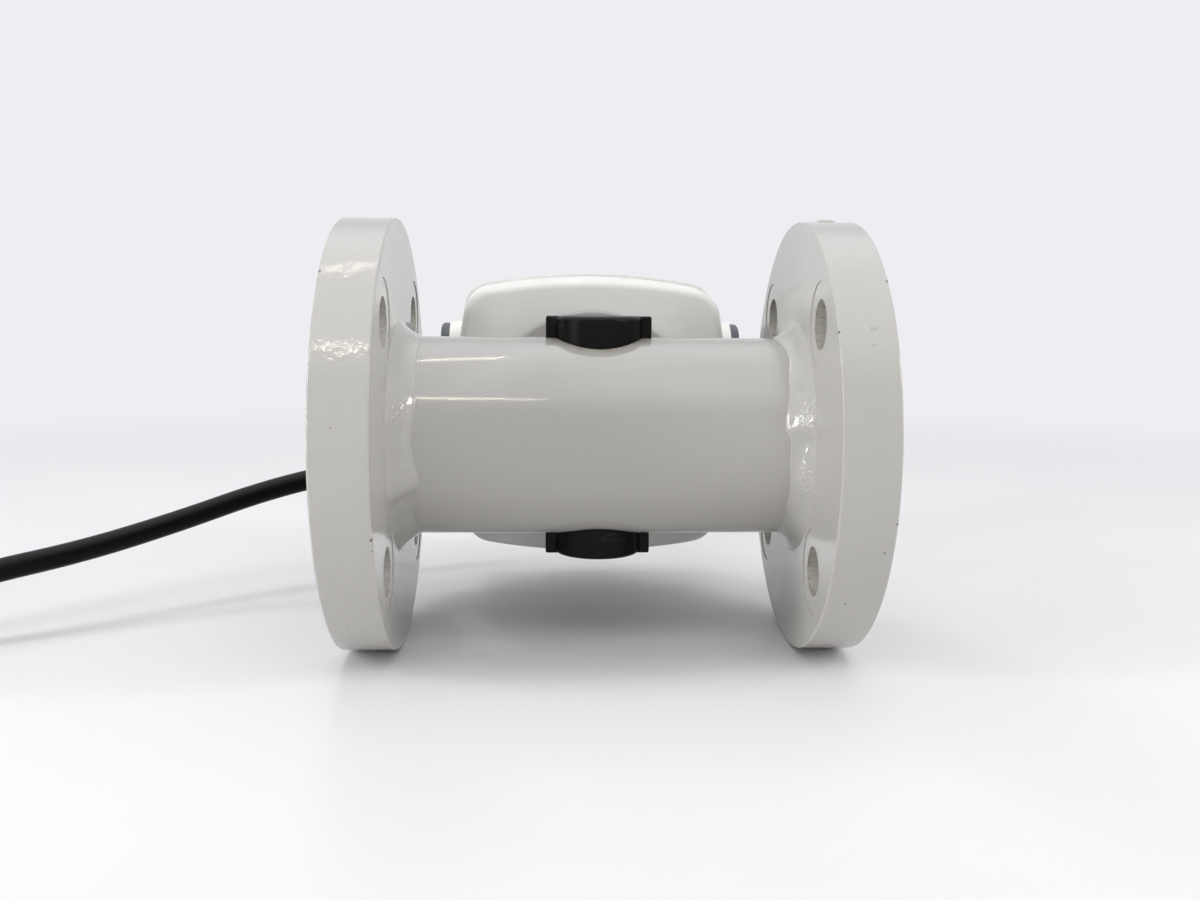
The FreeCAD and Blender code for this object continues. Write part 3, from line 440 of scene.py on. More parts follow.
# Each chip is X, the angle from -Y towards +Z in degrees, and its size, all on the rim's edge.
CHIPS = [(-95.6, 48, 0.6), (-95.8, 45, 0.4), (-76.3, -18, 0.55), (-76.2, -21, 0.3),
         (95.7, 46, 0.7), (76.3, 31, 0.45), (95.5, -14, 0.4), (-88.0, 8, 0.3), (83.0, -38, 0.4)]


def roughen_rim(tree, shader, place):
    """A lumpy bump on the rim, and none on the flat faces."""
    round_axis = add(tree, "VectorMath", {"operation": "MULTIPLY", 1: (0, 1, 1)}, {0: place})
    from_axis = add(tree, "VectorMath", {"operation": "LENGTH"}, {0: round_axis.outputs[0]})
    on_rim = add(tree, "MapRange", {"From Min": RIM_STARTS, "From Max": RIM_FULL},
                 {"Value": from_axis.outputs["Value"]})
    forged = add(tree, "TexNoise", {"Scale": per(FORGED_LUMP), "Detail": 2.5, "Roughness": 0.6},
                 {"Vector": place})
    lumpy = add(tree, "Math", {"operation": "MULTIPLY"},
                {0: forged.outputs["Fac"], 1: on_rim.outputs[0]})
    add_bump(tree, shader, lumpy.outputs[0], FORGED_DEPTH)


def chip_rim(tree, shader, place):
    """Primer wherever a chip is."""
    for x, degrees, size in CHIPS:
        angle = math.radians(degrees)
        centre = (x * MM, -RIM_FULL * math.cos(angle), RIM_FULL * math.sin(angle))
        away = add(tree, "VectorMath", {"operation": "DISTANCE", 1: centre}, {0: place})
        chip = add(tree, "Math", {"operation": "LESS_THAN", 1: size * MM},
                   {0: away.outputs["Value"]})
        colour_over(tree, shader, chip.outputs[0], PRIMER)


print("chips on the rims:", len(CHIPS))

# %% [markdown]
# ## The bolt holes
# The holes were drilled after the paint was on, or wiped clean, so their walls are dull steel
# with fine lengthwise scores, a little rust and a ragged paint edge. The flange is one mesh,
# so a mask has to find the walls. All holes are equally far from the axis at 45 degrees, and
# folding Y and Z to their absolute values lets one mask serve every hole.

# %% Hole walls and flange paint
BOLT_CIRCLE = 125.0 * MM
HOLE_OFFSET = BOLT_CIRCLE / 2 * math.sqrt(0.5)
HOLE_RADIUS = 9.0 * MM
# The mask reaches a little past the wall, and noise pulls its edge in by up to the torn width.
MASK_RADIUS = HOLE_RADIUS + 0.45 * MM
TORN_WIDTH = 0.7 * MM
TEAR = 1.8
HOLE_STEEL = "B2B1AA"
HOLE_SHADE = "9D9B93"
# The drill's scores are fine across the hole and eight times as long along it.
SCORE = 0.8
SCORE_STRETCH = (0.12, 1, 1)
SCORE_DEPTH = 0.06
RUST = "7A5F45"
RUST_BLOTCH = 3.0
RUST_SHARE = 0.55


def hole_mask(tree, place):
    """1 on and just outside the walls of the bolt holes, else 0, with a ragged edge."""
    folded = add(tree, "VectorMath", {"operation": "ABSOLUTE"}, {0: place})
    moved = add(tree, "VectorMath", {"operation": "SUBTRACT", 1: (0, HOLE_OFFSET, HOLE_OFFSET)},
                {0: folded.outputs[0]})
    across = add(tree, "VectorMath", {"operation": "MULTIPLY", 1: (0, 1, 1)},
                 {0: moved.outputs[0]})
    reach = add(tree, "VectorMath", {"operation": "LENGTH"}, {0: across.outputs[0]})
    torn = add(tree, "TexNoise", {"Scale": per(TEAR), "Detail": 2.0}, {"Vector": place})
    edge = add(tree, "Math", {"operation": "MULTIPLY_ADD", 1: TORN_WIDTH},
               {0: torn.outputs["Fac"], 2: reach.outputs["Value"]})
    return add(tree, "Math", {"operation": "LESS_THAN", 1: MASK_RADIUS}, {0: edge.outputs[0]})


def drilled_steel(tree, place):
    """Dull steel, scored along the hole and rusty in blotches."""
    along = add(tree, "Mapping", {"Scale": SCORE_STRETCH}, {"Vector": place})
    scores = add(tree, "TexNoise", {"Scale": per(SCORE), "Detail": 3.0},
                 {"Vector": along.outputs[0]})
    tone = add(tree, "MapRange", {"From Min": 0.35, "From Max": 0.65},
               {"Value": scores.outputs["Fac"]})
    clean = add(tree, "Mix", {"data_type": "RGBA", 6: colour(HOLE_SHADE), 7: colour(HOLE_STEEL)},
                {0: tone.outputs[0]})
    blotch = add(tree, "TexNoise", {"Scale": per(RUST_BLOTCH), "Detail": 4.0}, {"Vector": place})
    rusty = add(tree, "MapRange", {"From Min": 0.54, "From Max": 0.68, "To Max": RUST_SHARE},
                {"Value": blotch.outputs["Fac"]})
    steel = add(tree, "BsdfPrincipled", {"Metallic": 0.1, "Roughness": 0.5},
                {"Base Color": clean.outputs[2]})
    colour_over(tree, steel, rusty.outputs[0], RUST)
    add_bump(tree, steel, scores.outputs["Fac"], SCORE_DEPTH)
    return steel


def flange_material():
    """Gloss paint with an uneven rim and chips, and bare steel in the holes."""
    material, tree, shader, place = gloss_paint("gloss_paint_on_flange", 0.03, 0.06)
    roughen_rim(tree, shader, place)
    chip_rim(tree, shader, place)
    inside = hole_mask(tree, place)
    steel = drilled_steel(tree, place)
    show_instead(tree, add(tree, "MixShader", links={
        0: inside.outputs[0], 1: shader.outputs[0], 2: steel.outputs[0]}))
    return material


flange_skin = flange_material()
print("bolt holes", round(HOLE_OFFSET / MM, 1), "mm from the axis, sideways and up")

# %% [markdown]
# ## Moulded plastics and rubber
# A moulded part takes the finish of its mould: light spark-eroded grain on the housing, plain
# satin on plugs and caps, matt on rubber. One function makes the family. What changes from one
# plastic to the next is colour, gloss, grain size and how many pale scuffs handling has left.
# Scuffs are short strokes, so their noise is stretched and turned, and a second noise keeps
# them to a few patches.

# %% Moulded plastics and rubber
MOULD_CLOUD = 28.0
MOULD_GLOSS = 14.0
SATIN_SPREAD = 0.06
# A scuff is a stroke so many millimetres wide and four times as long.
STROKE = 3.5
STROKE_TURN = (0.4, 0.9, 0.7)
STROKE_STRETCH = (0.25, 1, 1)
SCUFFED_PATCH = 22.0


def add_scuffs(tree, shader, place, share, scuff_colour):
    """Pale strokes over the colour, in patches."""
    turned = add(tree, "Mapping", {"Rotation": STROKE_TURN, "Scale": STROKE_STRETCH},
                 {"Vector": place})
    rub = add(tree, "TexNoise", {"Scale": per(STROKE), "Detail": 6.0, "Roughness": 0.7},
              {"Vector": turned.outputs[0]})
    patch = add(tree, "TexNoise", {"Scale": per(SCUFFED_PATCH), "Detail": 1.0},
                {"Vector": place})
    product = add(tree, "Math", {"operation": "MULTIPLY"},
                  {0: rub.outputs["Fac"], 1: patch.outputs["Fac"]})
    mask = add(tree, "MapRange", {"From Min": 0.33, "From Max": 0.46, "To Max": share},
               {"Value": product.outputs[0]})
    colour_over(tree, shader, mask.outputs[0], scuff_colour)


def moulded(name, main, shade, roughness, grain=0.6, grain_depth=0.012, scuffs=None,
            specular=0.5):
    """A moulding: clouded colour, uneven gloss, fine grain, and scuffs if asked for."""
    material, tree, shader, place = start_material(name)
    cloud_colours(tree, shader, place, MOULD_CLOUD, 3.0, main, shade)
    if scuffs:
        add_scuffs(tree, shader, place, *scuffs)
    shader.inputs["Specular IOR Level"].default_value = specular
    vary_roughness(tree, shader, place, MOULD_GLOSS, 3.0, roughness - SATIN_SPREAD,
                   roughness + SATIN_SPREAD)
    add_grain(tree, shader, place, grain, 1.0, grain_depth)
    return material


# Polycarbonate from an eroded mould: a soft satin that hides its own highlights.
housing = moulded("polycarbonate_housing", "EAEAE7", "E5E5E1", 0.46, scuffs=(0.5, "FBFBFA"))
# Polyamide, dyed through: nearly black, with a weak sheen and a few grey rubs.
black_cap = moulded("black_polyamide_caps", "080809", "0C0C0D", 0.38, 0.5, 0.02,
                    scuffs=(0.12, "8A8886"), specular=0.12)
# The same plastic in blue-grey, from a plainer mould.
plug = moulded("dark_grey_polyamide_plugs", "30363E", "292E35", 0.42, 0.6, 0.02)
# Extruded rubber: black, and slightly wavy along its length.
sheath = moulded("rubber_cable_sheath", "09090A", "0D0D0E", 0.38, 1.6, 0.03, specular=0.10)
# Nitrile and hard rubber: matt, so that they read as soft or ground.
rubber = moulded("nitrile_seals", "0F0F10", "151515", 0.60)
liner_rubber = moulded("hard_rubber_liner", "161616", "1E1E1D", 0.50, 0.9, 0.03)
# The small mouldings inside: plain satin, told apart by colour.
insulator = moulded("white_insulating_bush", "D9D7CD", "CDCBC0", 0.50)
terminal = moulded("green_terminal_strip", "2F6B3C", "29603A", 0.45)
component = moulded("epoxy_components", "1E1E20", "28282A", 0.40)
print("mouldings:", housing.name, black_cap.name, plug.name, sheath.name)

# %% [markdown]
# ## Three cores in one piece
# At its bare end the cable shows three cores, brown, white and green, in smooth extruded
# plastic. They are one mesh in the model, and it could be cut up, but the colours can also be
# told from the place: the brown core lies above the other two, and those lie side by side.

# %% Core insulation
CORE_BROWN = "6A4430"
CORE_WHITE = "D8D6CF"
CORE_GREEN = "3E6B46"
CORE_GRAIN = 2.0
CORE_GRAIN_DEPTH = 0.01
CORE_GLOSSIEST, CORE_DULLEST = 0.34, 0.48
# Height between the brown core and the pair, and the line between the two of the pair.
UNDER_BROWN = (BARE_END[2] + 0.4) * MM
BETWEEN_PAIR = BARE_END[1] * MM


def core_material():
    """Brown, white and green insulation, told apart by where each core stands."""
    material, tree, shader, place = start_material("extruded_core_insulation")
    parts = add(tree, "SeparateXYZ", links={"Vector": place})
    lower = add(tree, "Math", {"operation": "LESS_THAN", 1: UNDER_BROWN},
                {0: parts.outputs["Z"]})
    nearer = add(tree, "Math", {"operation": "LESS_THAN", 1: BETWEEN_PAIR},
                 {0: parts.outputs["Y"]})
    pair = add(tree, "Mix", {"data_type": "RGBA", 6: colour(CORE_WHITE), 7: colour(CORE_GREEN)},
               {0: nearer.outputs[0]})
    all_three = add(tree, "Mix", {"data_type": "RGBA", 6: colour(CORE_BROWN)},
                    {0: lower.outputs[0], 7: pair.outputs[2]})
    tree.links.new(all_three.outputs[2], shader.inputs["Base Color"])
    vary_roughness(tree, shader, place, CORE_GRAIN, 3.0, CORE_GLOSSIEST, CORE_DULLEST)
    add_grain(tree, shader, place, CORE_GRAIN, 3.0, CORE_GRAIN_DEPTH)
    return material


core_skin = core_material()
print("cores:", core_skin.name)

# %% [markdown]
# ## Bare metals
# Turned and plated metals are a metallic base with a grain about a millimetre long or less.
# The default index of refraction stays: a metal's colour comes from its base colour. Copper
# wire gets a deeper and finer grain than the rest, which reads as its winding.

# %% Bare metals
METAL_CLOUD = 8.0


def bare_metal(name, main, shade, roughness, grain=0.8, grain_depth=0.015):
    """Metal with a little cloud in its colour and a fine worked grain."""
    material, tree, shader, place = start_material(name)
    cloud_colours(tree, shader, place, METAL_CLOUD, 4.0, main, shade)
    shader.inputs["Metallic"].default_value = 1.0
    shader.inputs["Roughness"].default_value = roughness
    add_grain(tree, shader, place, grain, 2.0, grain_depth)
    return material


# Turned steel: a cool grey whose highlights spread a little.
turned_steel = bare_metal("turned_stainless_steel", "8C8B86", "7A7873", 0.38)
# Copper under clear enamel: warm, and broken up by the turns of wire.
copper = bare_metal("enamelled_copper_winding", "A5582E", "7E3F20", 0.35, 0.5, 0.06)
# Soft iron as rolled: dark, with hardly any highlight.
iron = bare_metal("soft_iron", "5B5A58", "4A4947", 0.55)
# Polished alloy: the one metal here that mirrors its surroundings.
alloy = bare_metal("polished_electrode_alloy", "A3A19B", "8F8D88", 0.20)
# Zinc and tin plating: pale, with a soft shine.
zinc = bare_metal("zinc_plated_screws", "9C9C99", "8A8A86", 0.32)
tin = bare_metal("tinned_copper_ferrules", "B4B3AE", "A09F9A", 0.30)
print("metals:", turned_steel.name, copper.name, zinc.name)

# %% [markdown]
# ## Window, display and board
# The window is clear polycarbonate, which is nearly all transmission. Behind it sits a grey-
# green liquid crystal cell. The board under them is glass fibre with a green solder mask,
# whose copper tracks show as slightly paler lines, 2.5 mm apart. A brick pattern draws such
# lines without any image.

# %% Window, display and board
CLEAR_TINT = "F4F7F6"
WIPED_PATCH = 12.0
WIPED_CLEAN, WIPED_HAZY = 0.02, 0.08
MASK_GREEN, MASK_DARK, TRACK_GREEN = "1D4C2F", "1A452A", "2C6B44"
BRICK = 10.0
# Sizes below are shares of a brick: a row of a quarter of 10 mm makes tracks 2.5 mm apart.
TRACKS = {"Mortar Size": 0.03, "Brick Width": 0.9, "Row Height": 0.25}
TRACK_DEPTH = 0.04


def clear_polycarbonate():
    """Clear, with the faint haze that cleaning leaves."""
    material, tree, shader, place = start_material("clear_polycarbonate_window")
    shader.inputs["Base Color"].default_value = colour(CLEAR_TINT)
    shader.inputs["Transmission Weight"].default_value = 0.95
    shader.inputs["IOR"].default_value = 1.58
    vary_roughness(tree, shader, place, WIPED_PATCH, 3.0, WIPED_CLEAN, WIPED_HAZY)
    return material


def solder_mask():
    """Green mask over a grid of tracks."""
    material, tree, shader, place = start_material("green_solder_mask")
    turned = add(tree, "Mapping", {"Rotation": (math.pi / 2, 0, 0)}, {"Vector": place})
    lanes = add(tree, "TexBrick", {"Scale": per(BRICK), "Color1": colour(MASK_GREEN),
                                   "Color2": colour(MASK_DARK), "Mortar": colour(TRACK_GREEN),
                                   **TRACKS}, {"Vector": turned.outputs[0]})
    tree.links.new(lanes.outputs["Color"], shader.inputs["Base Color"])
    shader.inputs["Roughness"].default_value = 0.35
    add_bump(tree, shader, lanes.outputs["Fac"], TRACK_DEPTH)
    return material


window = clear_polycarbonate()
board = solder_mask()
crystal = moulded("liquid_crystal_cell", "74806F", "6E7A69", 0.22, 0.4, 0.004)
print("window, board and display:", window.name, board.name, crystal.name)

# %% [markdown]
# ## Every node gets its finish
# The record names a material slot for each node, so one table from slot to material dresses
# nearly the whole meter. Only the painted pieces differ within their slot: tube, flanges and
# welds wear their own paint, and a second table picks them by name.

# %% Give each node its material
SLOT_FINISH = {
    "body_paint": plate_paint, "bare_steel": turned_steel, "liner_rubber": liner_rubber,
    "copper_coil": copper, "core_iron": iron, "electrode_alloy": alloy, "insulator": insulator,
    "black_plastic": black_cap, "seal_rubber": rubber, "housing_plastic": housing,
    "plug_plastic": plug, "screw_steel": zinc, "clear_window": window, "display": crystal,
    "circuit_board": board, "board_parts": component, "terminal_plastic": terminal,
    "cable_sheath": sheath, "core_insulation": core_skin, "ferrule_metal": tin,
}
NODE_FINISH = {"inlet_flange": flange_skin, "outlet_flange": flange_skin, "outer_tube": tube_skin,
               "inlet_weld": weld_paint, "outlet_weld": weld_paint, "neck_weld": weld_paint}

for entry in frame["record"]["subparts"]:
    node = frame["nodes"][entry["node"]]
    finish = NODE_FINISH.get(entry["node"], SLOT_FINISH[entry["material_slot"]])
    node.data.materials.clear()
    node.data.materials.append(finish)
cable.data.materials.append(sheath)

# %% [markdown]
# ## The section of a weld bead
# Each flange is joined to the tube by one fillet weld, run round by hand, so the bead swells,
# thins and sags, and the paint rounds off what is sharp. The bead could be sculpted, but it is
# easier to repeat when a fillet section is spun round the tube's axis first and then shaped.
# The section starts with the face, and its back stays inside the steel.

# %% Section of a bead
TUBE_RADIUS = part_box("outer_tube")[1][2]
FLANGE_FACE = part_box("outlet_flange")[0][0]
BEAD_STEPS = 180
ROOT = 0.7 * MM
LEG_ALONG = 7.9 * MM
LEG_UP = 6.8 * MM
# Shares of the two legs, from the toe on the tube to the toe on the flange. The face is a
# little hollow, and the paint fills both toes so that they run out flat.
FACE = [(1.0, 0.0), (0.93, 0.02), (0.85, 0.055), (0.76, 0.105), (0.66, 0.17), (0.56, 0.245),
        (0.46, 0.33), (0.36, 0.43), (0.27, 0.535), (0.19, 0.645), (0.12, 0.76), (0.06, 0.87),
        (0.02, 0.95), (0.0, 1.0)]


def fillet_section(mesh):
    """A closed section on the +Y side: the hollow face, and a back inside the steel."""
    outline = [(u * LEG_ALONG, v * LEG_UP) for u, v in FACE]
    outline += [(-ROOT, LEG_UP), (-ROOT, -ROOT), (LEG_ALONG, -ROOT)]
    verts = [mesh.verts.new((FLANGE_FACE - u, TUBE_RADIUS + v, 0)) for u, v in outline]
    edges = [mesh.edges.new((a, b)) for a, b in zip(verts, verts[1:] + verts[:1])]
    return verts + edges


print("bead section:", len(FACE) + 3, "points")

# %% [markdown]
# ## Lumps along the beads
# A hand weld isn't evenly rough. It has places: where the welder stopped and started again,
# where the bead sagged, where it ran thin. Noise alone would make every stretch alike, so each
# such place is listed as a lump that fades out on both sides. The far side of the tube has
# quieter ones.

# %% Lumps
# Each lump is its angle from +Y over the top, in degrees, its width before and after that
# angle, and how much it adds along the tube, up the flange and outwards, in millimetres.
INLET_LUMPS = [(60, 25, 25, 0.7, 0.5, 0.0), (98, 18, 28, 1.4, -0.4, 0.1),
               (155, 22, 12, 1.5, 0.6, 0.7), (185, 38, 42, 0.0, 2.0, 0.0),
               (202, 13, 5, 3.0, 1.2, 1.5), (224, 7, 13, -0.8, 0.0, -0.2),
               (262, 15, 20, 0.6, 0.2, 0.2), (330, 20, 20, -0.8, 0.4, 0.2),
               (20, 18, 14, 0.6, 0.8, 0.4)]
OUTLET_LUMPS = [(40, 22, 22, 0.8, 0.4, 0.2), (90, 14, 10, 0.5, -0.2, 0.2),
                (122, 13, 13, -2.2, -0.5, -0.2), (169, 14, 5, 1.7, 0.8, 1.5),
                (177, 3, 6, -0.4, 0.0, -0.4), (208, 16, 16, -0.9, 0.5, 0.1),
                (228, 9, 12, -1.2, 0.4, 0.3), (265, 16, 20, -2.2, 0.6, 0.1),
                (300, 24, 24, -0.6, 0.8, 0.2), (340, 14, 18, 0.7, 0.2, 0.5)]


def lump_sizes(lumps, degrees):
    """What all lumps add at an angle: along, up and outwards."""
    total = [0.0, 0.0, 0.0]
    for centre, before, after, *extra in lumps:
        away = (degrees - centre + 180) % 360 - 180
        strength = math.exp(-(away / (before if away < 0 else after)) ** 2)
        total = [so_far + more * strength for so_far, more in zip(total, extra)]
    return total


print("lumps:", len(INLET_LUMPS), "at the inlet and", len(OUTLET_LUMPS), "at the outlet")

# %% [markdown]
# ## Spinning and shaping the beads
# Spin turns the section into a ring, and then every vertex moves by what the lumps and a slow
# noise say at its angle. Shares of the two legs say where on the section a vertex is: both
# toes stay on the steel and only slide along it, and the middle of the face rises most.

# %% Weld beads
# Widths of the wobbles along the bead, and how far each moves the face or the toes, in mm.
SLOW_WOBBLE, SLOW_RISE = 11.0, 0.55
QUICK_WOBBLE, QUICK_RISE = 4.5, 0.12
TOE_WOBBLE, TOE_SHIFT = 9.0, 0.5
# The middle of the face rises in full and at 45 degrees, and less towards the toes.
DIAGONAL = 0.7
RISE_GAIN = 7.2
# Noise is read elsewhere for the other bead and for the toes, and changes across the face.
OTHER_BEAD, OTHER_TOE = 30, Vector((7, 0, 0))
ACROSS_FACE = 5


def finish_piece(name, mesh, material):
    """Turns a bmesh into a smooth object at the origin that rides on the meter."""
    bmesh.ops.recalc_face_normals(mesh, faces=mesh.faces)
    for face in mesh.faces:
        face.smooth = True
    data = bpy.data.meshes.new(name)
    mesh.to_mesh(data)
    mesh.free()
    data.materials.append(material)
    piece = bpy.data.objects.new(name, data)
    bpy.context.collection.objects.link(piece)
    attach(piece, "root")
    return piece


def shape_vertex(vert, side, lumps):
    """Moves a vertex of the plain ring to where the uneven bead has it."""
    u = FLANGE_FACE - vert.co.x
    v = math.hypot(vert.co.y, vert.co.z) - TUBE_RADIUS
    turn = math.atan2(vert.co.z, vert.co.y)
    along, up, swell = lump_sizes(lumps, math.degrees(turn) % 360)
    share_u = max(0.0, u / LEG_ALONG)
    share_v = max(0.0, v / LEG_UP)
    u += along * MM * share_u
    v += up * MM * share_v
    spot = Vector((side * OTHER_BEAD, turn * TUBE_RADIUS / MM,
                   (share_u - share_v) * ACROSS_FACE))
    slow = noise.noise(spot / SLOW_WOBBLE) * SLOW_RISE
    quick = noise.noise(spot / QUICK_WOBBLE) * QUICK_RISE
    rise = (swell + slow + quick) * MM * min(1.0, share_u * share_v * RISE_GAIN)
    toe = noise.noise(spot / TOE_WOBBLE + OTHER_TOE) * TOE_SHIFT * MM
    u += rise * DIAGONAL + toe * share_u * (1 - share_v)
    v += rise * DIAGONAL + toe * share_v * (1 - share_u)
    radius = TUBE_RADIUS + v
    vert.co = (side * (FLANGE_FACE - u), radius * math.cos(turn), radius * math.sin(turn))


def make_bead(name, side, lumps, node):
    """Spins the section, shapes the ring, and puts it at one flange."""
    mesh = bmesh.new()
    bmesh.ops.spin(mesh, geom=fillet_section(mesh), cent=(0, 0, 0), axis=(1, 0, 0),
                   angle=2 * math.pi, steps=BEAD_STEPS, use_merge=True)
    bmesh.ops.remove_doubles(mesh, verts=mesh.verts, dist=0.001 * MM)
    for vert in mesh.verts:
        shape_vertex(vert, side, lumps)
    bead = finish_piece(name, mesh, weld_paint)
    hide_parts(node)
    return bead


beads = [make_bead("weld_bead_inlet", -1, INLET_LUMPS, "inlet_weld"),
         make_bead("weld_bead_outlet", 1, OUTLET_LUMPS, "outlet_weld")]
for bead in beads:
    print(bead.name, "has", len(bead.data.vertices), "vertices")

# %% [markdown]
# ## Drops and blisters in the paint
# Thick paint leaves a flat drop at the top of the flange it hung from while it dried, and a few
# blisters on the rims. They are too tall for a bump, since some show on the outline. They are
# low domes, so each is an icosphere squashed along its own normal, set half into the steel and
# made a little uneven. All are one piece.

# %% Paint drops
# X, angle above the front in degrees, size along X, size round the rim, height, millimetres.
DROPS = [(86.8, 89.0, 7.6, 4.0, 1.2), (88.0, 32.6, 3.2, 3.4, 0.4), (87.4, 28.2, 2.2, 2.4, 0.35),
         (-88.0, 262.0, 5.0, 3.5, 0.4), (85.0, 271.0, 4.0, 3.0, 0.4)]
SUNK = 0.1 * MM
UNEVEN_WIDTH, UNEVEN_HEIGHT = 1.8 * MM, 0.07 * MM


def make_drops():
    """Squashed icospheres on both rims."""
    mesh = bmesh.new()
    for x, degrees, length, width, height in DROPS:
        size = Matrix.Diagonal((length / 2 * MM, width / 2 * MM, height * MM, 1.0))
        lift = Matrix.Translation((x * MM, 0, RIM_RADIUS - SUNK))
        turn = Matrix.Rotation(math.pi / 2 - math.radians(degrees), 4, "X")
        bmesh.ops.create_icosphere(mesh, subdivisions=3, radius=1.0, matrix=turn @ lift @ size)
    for vert in mesh.verts:
        outwards = vert.co.normalized()
        vert.co += outwards * noise.noise(vert.co / UNEVEN_WIDTH) * UNEVEN_HEIGHT
    return finish_piece("paint_drops", mesh, plate_paint)


drops = make_drops()
print(drops.name, "holds", len(DROPS), "drops")

# %% [markdown]
# ## Floor and backdrop
# The meter stands on white card that sweeps up far behind it. A curved sweep would need a far
# bigger set, and its bend would show. Instead the floor is flat and keeps the meter's shadow,
# and further out it turns into the backdrop's own colour. Only the camera, mirror-like
# surfaces and glass see that colour, so it lights nothing.

# %% Floor
BACKDROP = "EEEEF2"
CARD = "F0EFF0"
CARD_DUSTY = "E9E9EB"
DUST_CLOUD = 120.0
CARD_HALF_WIDTH = 6.0
# The card is plain up to the first distance from the axis, and all backdrop at the second.
CARD_NEAR = 0.32
CARD_FAR = 1.1


def seen_rays(tree):
    """The ray kinds, and a node that is 1 for a camera, glossy or transmission ray, else 0."""
    rays = add(tree, "LightPath")
    first_two = add(tree, "Math", {"operation": "MAXIMUM"},
                    {0: rays.outputs["Is Camera Ray"], 1: rays.outputs["Is Glossy Ray"]})
    seen = add(tree, "Math", {"operation": "MAXIMUM"},
               {0: first_two.outputs[0], 1: rays.outputs["Is Transmission Ray"]})
    return rays, seen


def card_material():
    """White card that turns into the backdrop further out."""
    material, tree, shader, place = start_material("white_card")
    cloud_colours(tree, shader, place, DUST_CLOUD, 5.0, CARD, CARD_DUSTY)
    shader.inputs["Roughness"].default_value = 0.55
    distance = add(tree, "VectorMath", {"operation": "LENGTH"}, {0: place})
    far = add(tree, "MapRange", {"interpolation_type": "SMOOTHSTEP", "From Min": CARD_NEAR,
                                 "From Max": CARD_FAR}, {"Value": distance.outputs["Value"]})
    _, seen = seen_rays(tree)
    share = add(tree, "Math", {"operation": "MULTIPLY"}, {0: far.outputs[0], 1: seen.outputs[0]})
    flat = add(tree, "Emission", {"Color": colour(BACKDROP), "Strength": 1.0})
    show_instead(tree, add(tree, "MixShader", links={
        0: share.outputs[0], 1: shader.outputs[0], 2: flat.outputs[0]}))
    return material


def make_floor():
    """A wide card at the height of the flange rims' lowest line."""
    mesh = bmesh.new()
    bmesh.ops.create_grid(mesh, x_segments=1, y_segments=1, size=CARD_HALF_WIDTH)
    bmesh.ops.translate(mesh, verts=mesh.verts, vec=(0, 0, FLOOR_Z))
    data = bpy.data.meshes.new("white_card")
    mesh.to_mesh(data)
    mesh.free()
    data.materials.append(card_material())
    card = bpy.data.objects.new("white_card", data)
    bpy.context.collection.objects.link(card)


make_floor()
print("floor at", round(FLOOR_Z / MM, 2), "mm")

# %% [markdown]
# ## Light from all round
# Gloss paint looks like gloss only when there is something to mirror. A real studio has a pale
# ceiling and reflector cards, whose soft edges run along the tube and round the rims. Lamps big
# enough for that would flatten the shadows, so the world has two faces: an even, weak light
# for all surfaces, and a backdrop for camera and mirror-like ones, which in mirrors alone
# grows brighter overhead and at both sides.

# %% World
WORLD_TINT = "F6F6F8"
WORLD_STRENGTH = 0.47
# Each glow is where it starts and is full, as a share of straight up or sideways, and its gain.
CEILING_GLOW = (0.50, 0.98, 2.2)
SIDE_GLOW = (0.78, 0.97, 1.2)


def add_glow(tree, value, glow):
    """What a glow adds in a direction, from how far that direction points its way."""
    start, full, gain = glow
    return add(tree, "MapRange", {"interpolation_type": "SMOOTHSTEP", "From Min": start,
                                  "From Max": full, "To Max": gain}, {"Value": value})


def make_world():
    """Pale light all round, and a backdrop that gloss sees with two glows."""
    world = bpy.data.worlds.new("studio")
    world.use_nodes = True
    tree = world.node_tree
    tree.nodes.clear()
    toward = add(tree, "TexCoord")
    parts = add(tree, "SeparateXYZ", links={"Vector": toward.outputs["Generated"]})
    sideways = add(tree, "Math", {"operation": "ABSOLUTE"}, {0: parts.outputs["X"]})
    ceiling = add_glow(tree, parts.outputs["Z"], CEILING_GLOW)
    sides = add_glow(tree, sideways.outputs[0], SIDE_GLOW)
    extra = add(tree, "Math", {"operation": "ADD"}, {0: ceiling.outputs[0], 1: sides.outputs[0]})
    rays, seen = seen_rays(tree)
    mirrored = add(tree, "Math", {"operation": "MULTIPLY_ADD", 2: 1.0},
                   {0: extra.outputs[0], 1: rays.outputs["Is Glossy Ray"]})
    lit = add(tree, "Background", {"Color": colour(WORLD_TINT), "Strength": WORLD_STRENGTH})
    shown = add(tree, "Background", {"Color": colour(BACKDROP)},
                {"Strength": mirrored.outputs[0]})
    both = add(tree, "MixShader", links={0: seen.outputs[0], 1: lit.outputs[0],
                                         2: shown.outputs[0]})
    add(tree, "OutputWorld", links={"Surface": both.outputs[0]})
    bpy.context.scene.world = world


make_world()
print("world:", bpy.context.scene.world.name)

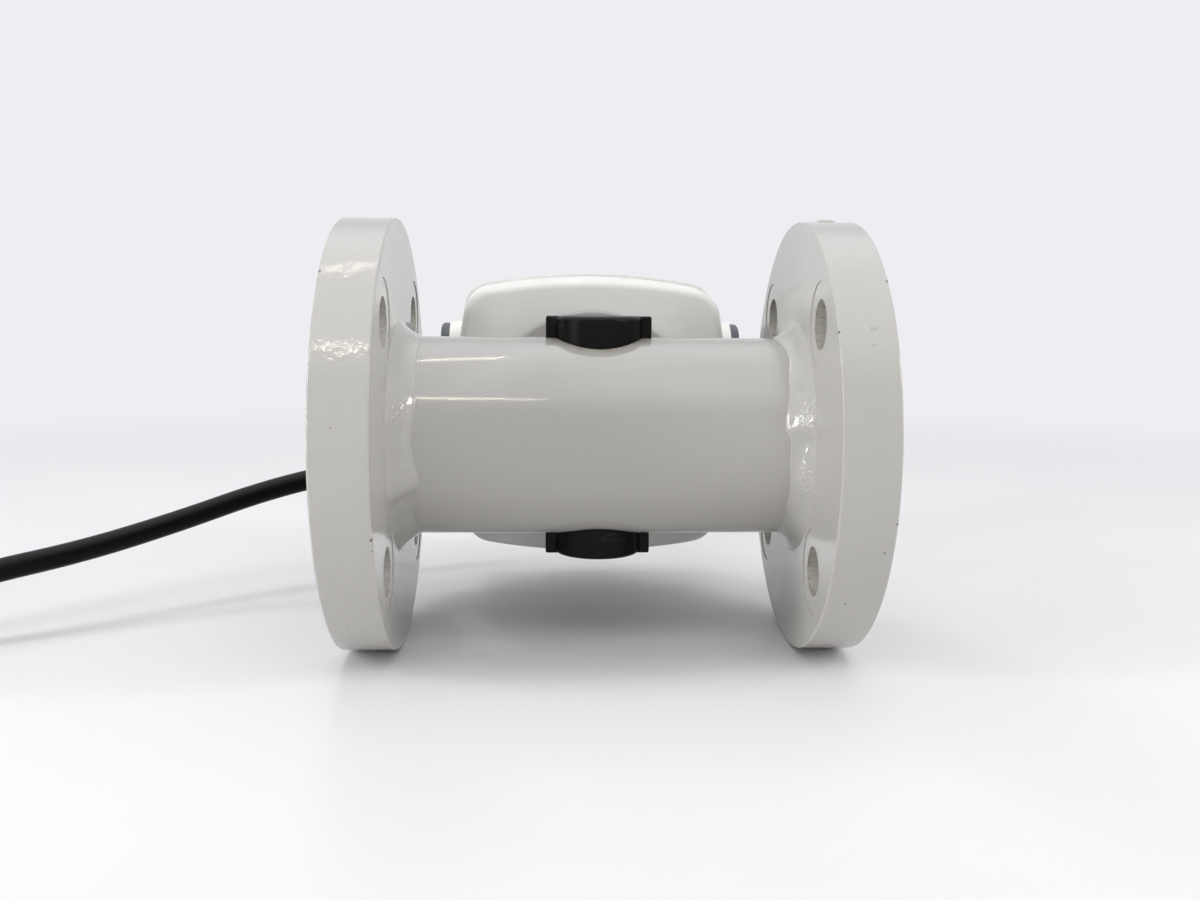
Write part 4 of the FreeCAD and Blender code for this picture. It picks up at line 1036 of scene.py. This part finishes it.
# %% [markdown]
# ## Lamps
# A large softbox above and a panel high in front light the meter evenly. A small lamp behind
# lets its shadow fall towards the viewer and gives that shadow an edge, and a tall strip on
# each side lights the rims. In gloss paint most of these would show as hard bands, so they are
# kept out of it. What the paint does mirror is the strip on the left, two narrow tubes that
# draw the thin bright lines on the meter's tube, and a small card on the right, and those last
# three light nothing else. The view transform is Standard, so that a colour renders about as
# it is written.

# %% Lamps
WARM_WHITE = "FFF4DC"


def make_lamp(name, place, size_x, size_y, watts, aim=(0, 0, 0), in_gloss=False):
    """A rectangular area lamp at a place in metres, aimed at a point, with its width level."""
    data = bpy.data.lights.new(name, "AREA")
    data.shape = "RECTANGLE"
    data.size = size_x
    data.size_y = size_y
    data.energy = watts
    lamp = bpy.data.objects.new(name, data)
    lamp.location = place
    lamp.rotation_euler = (Vector(aim) - Vector(place)).to_track_quat("-Z", "Y").to_euler()
    lamp.visible_glossy = in_gloss
    bpy.context.collection.objects.link(lamp)
    return lamp


def make_mirrored(name, place, size_x, size_y, watts, aim=(0, 0, 0)):
    """A warm lamp that only gloss shows."""
    lamp = make_lamp(name, place, size_x, size_y, watts, aim, in_gloss=True)
    lamp.data.color = colour(WARM_WHITE)[:3]
    lamp.visible_diffuse = False
    return lamp


TUBE_AIM = (-0.05, 0, 0)
lamps = [
    make_lamp("softbox_above", (0.06, 0.14, 1.20), 1.3, 0.9, 2.3),
    make_lamp("lamp_behind", (-0.28, 0.68, 0.80), 0.12, 0.12, 1.0),
    make_lamp("panel_in_front", (0.05, -0.95, 1.15), 1.0, 0.6, 5.6),
    make_lamp("strip_left", (-0.96, -0.37, 0.20), 0.10, 0.9, 7.6, in_gloss=True),
    make_lamp("strip_right", (0.98, -0.26, 0.28), 0.10, 1.0, 5.2),
    make_mirrored("tube_overhead", (-0.13, 0.085, 0.60), 0.20, 0.004, 0.13, TUBE_AIM),
    make_mirrored("tube_in_front", (-0.13, -0.41, 0.44), 0.20, 0.005, 0.18, TUBE_AIM),
    make_mirrored("card_at_right", (0.95, -0.40, 0.52), 0.20, 0.20, 4.0),
]
bpy.context.scene.view_settings.view_transform = "Standard"
print("lamps:", [lamp.name for lamp in lamps])
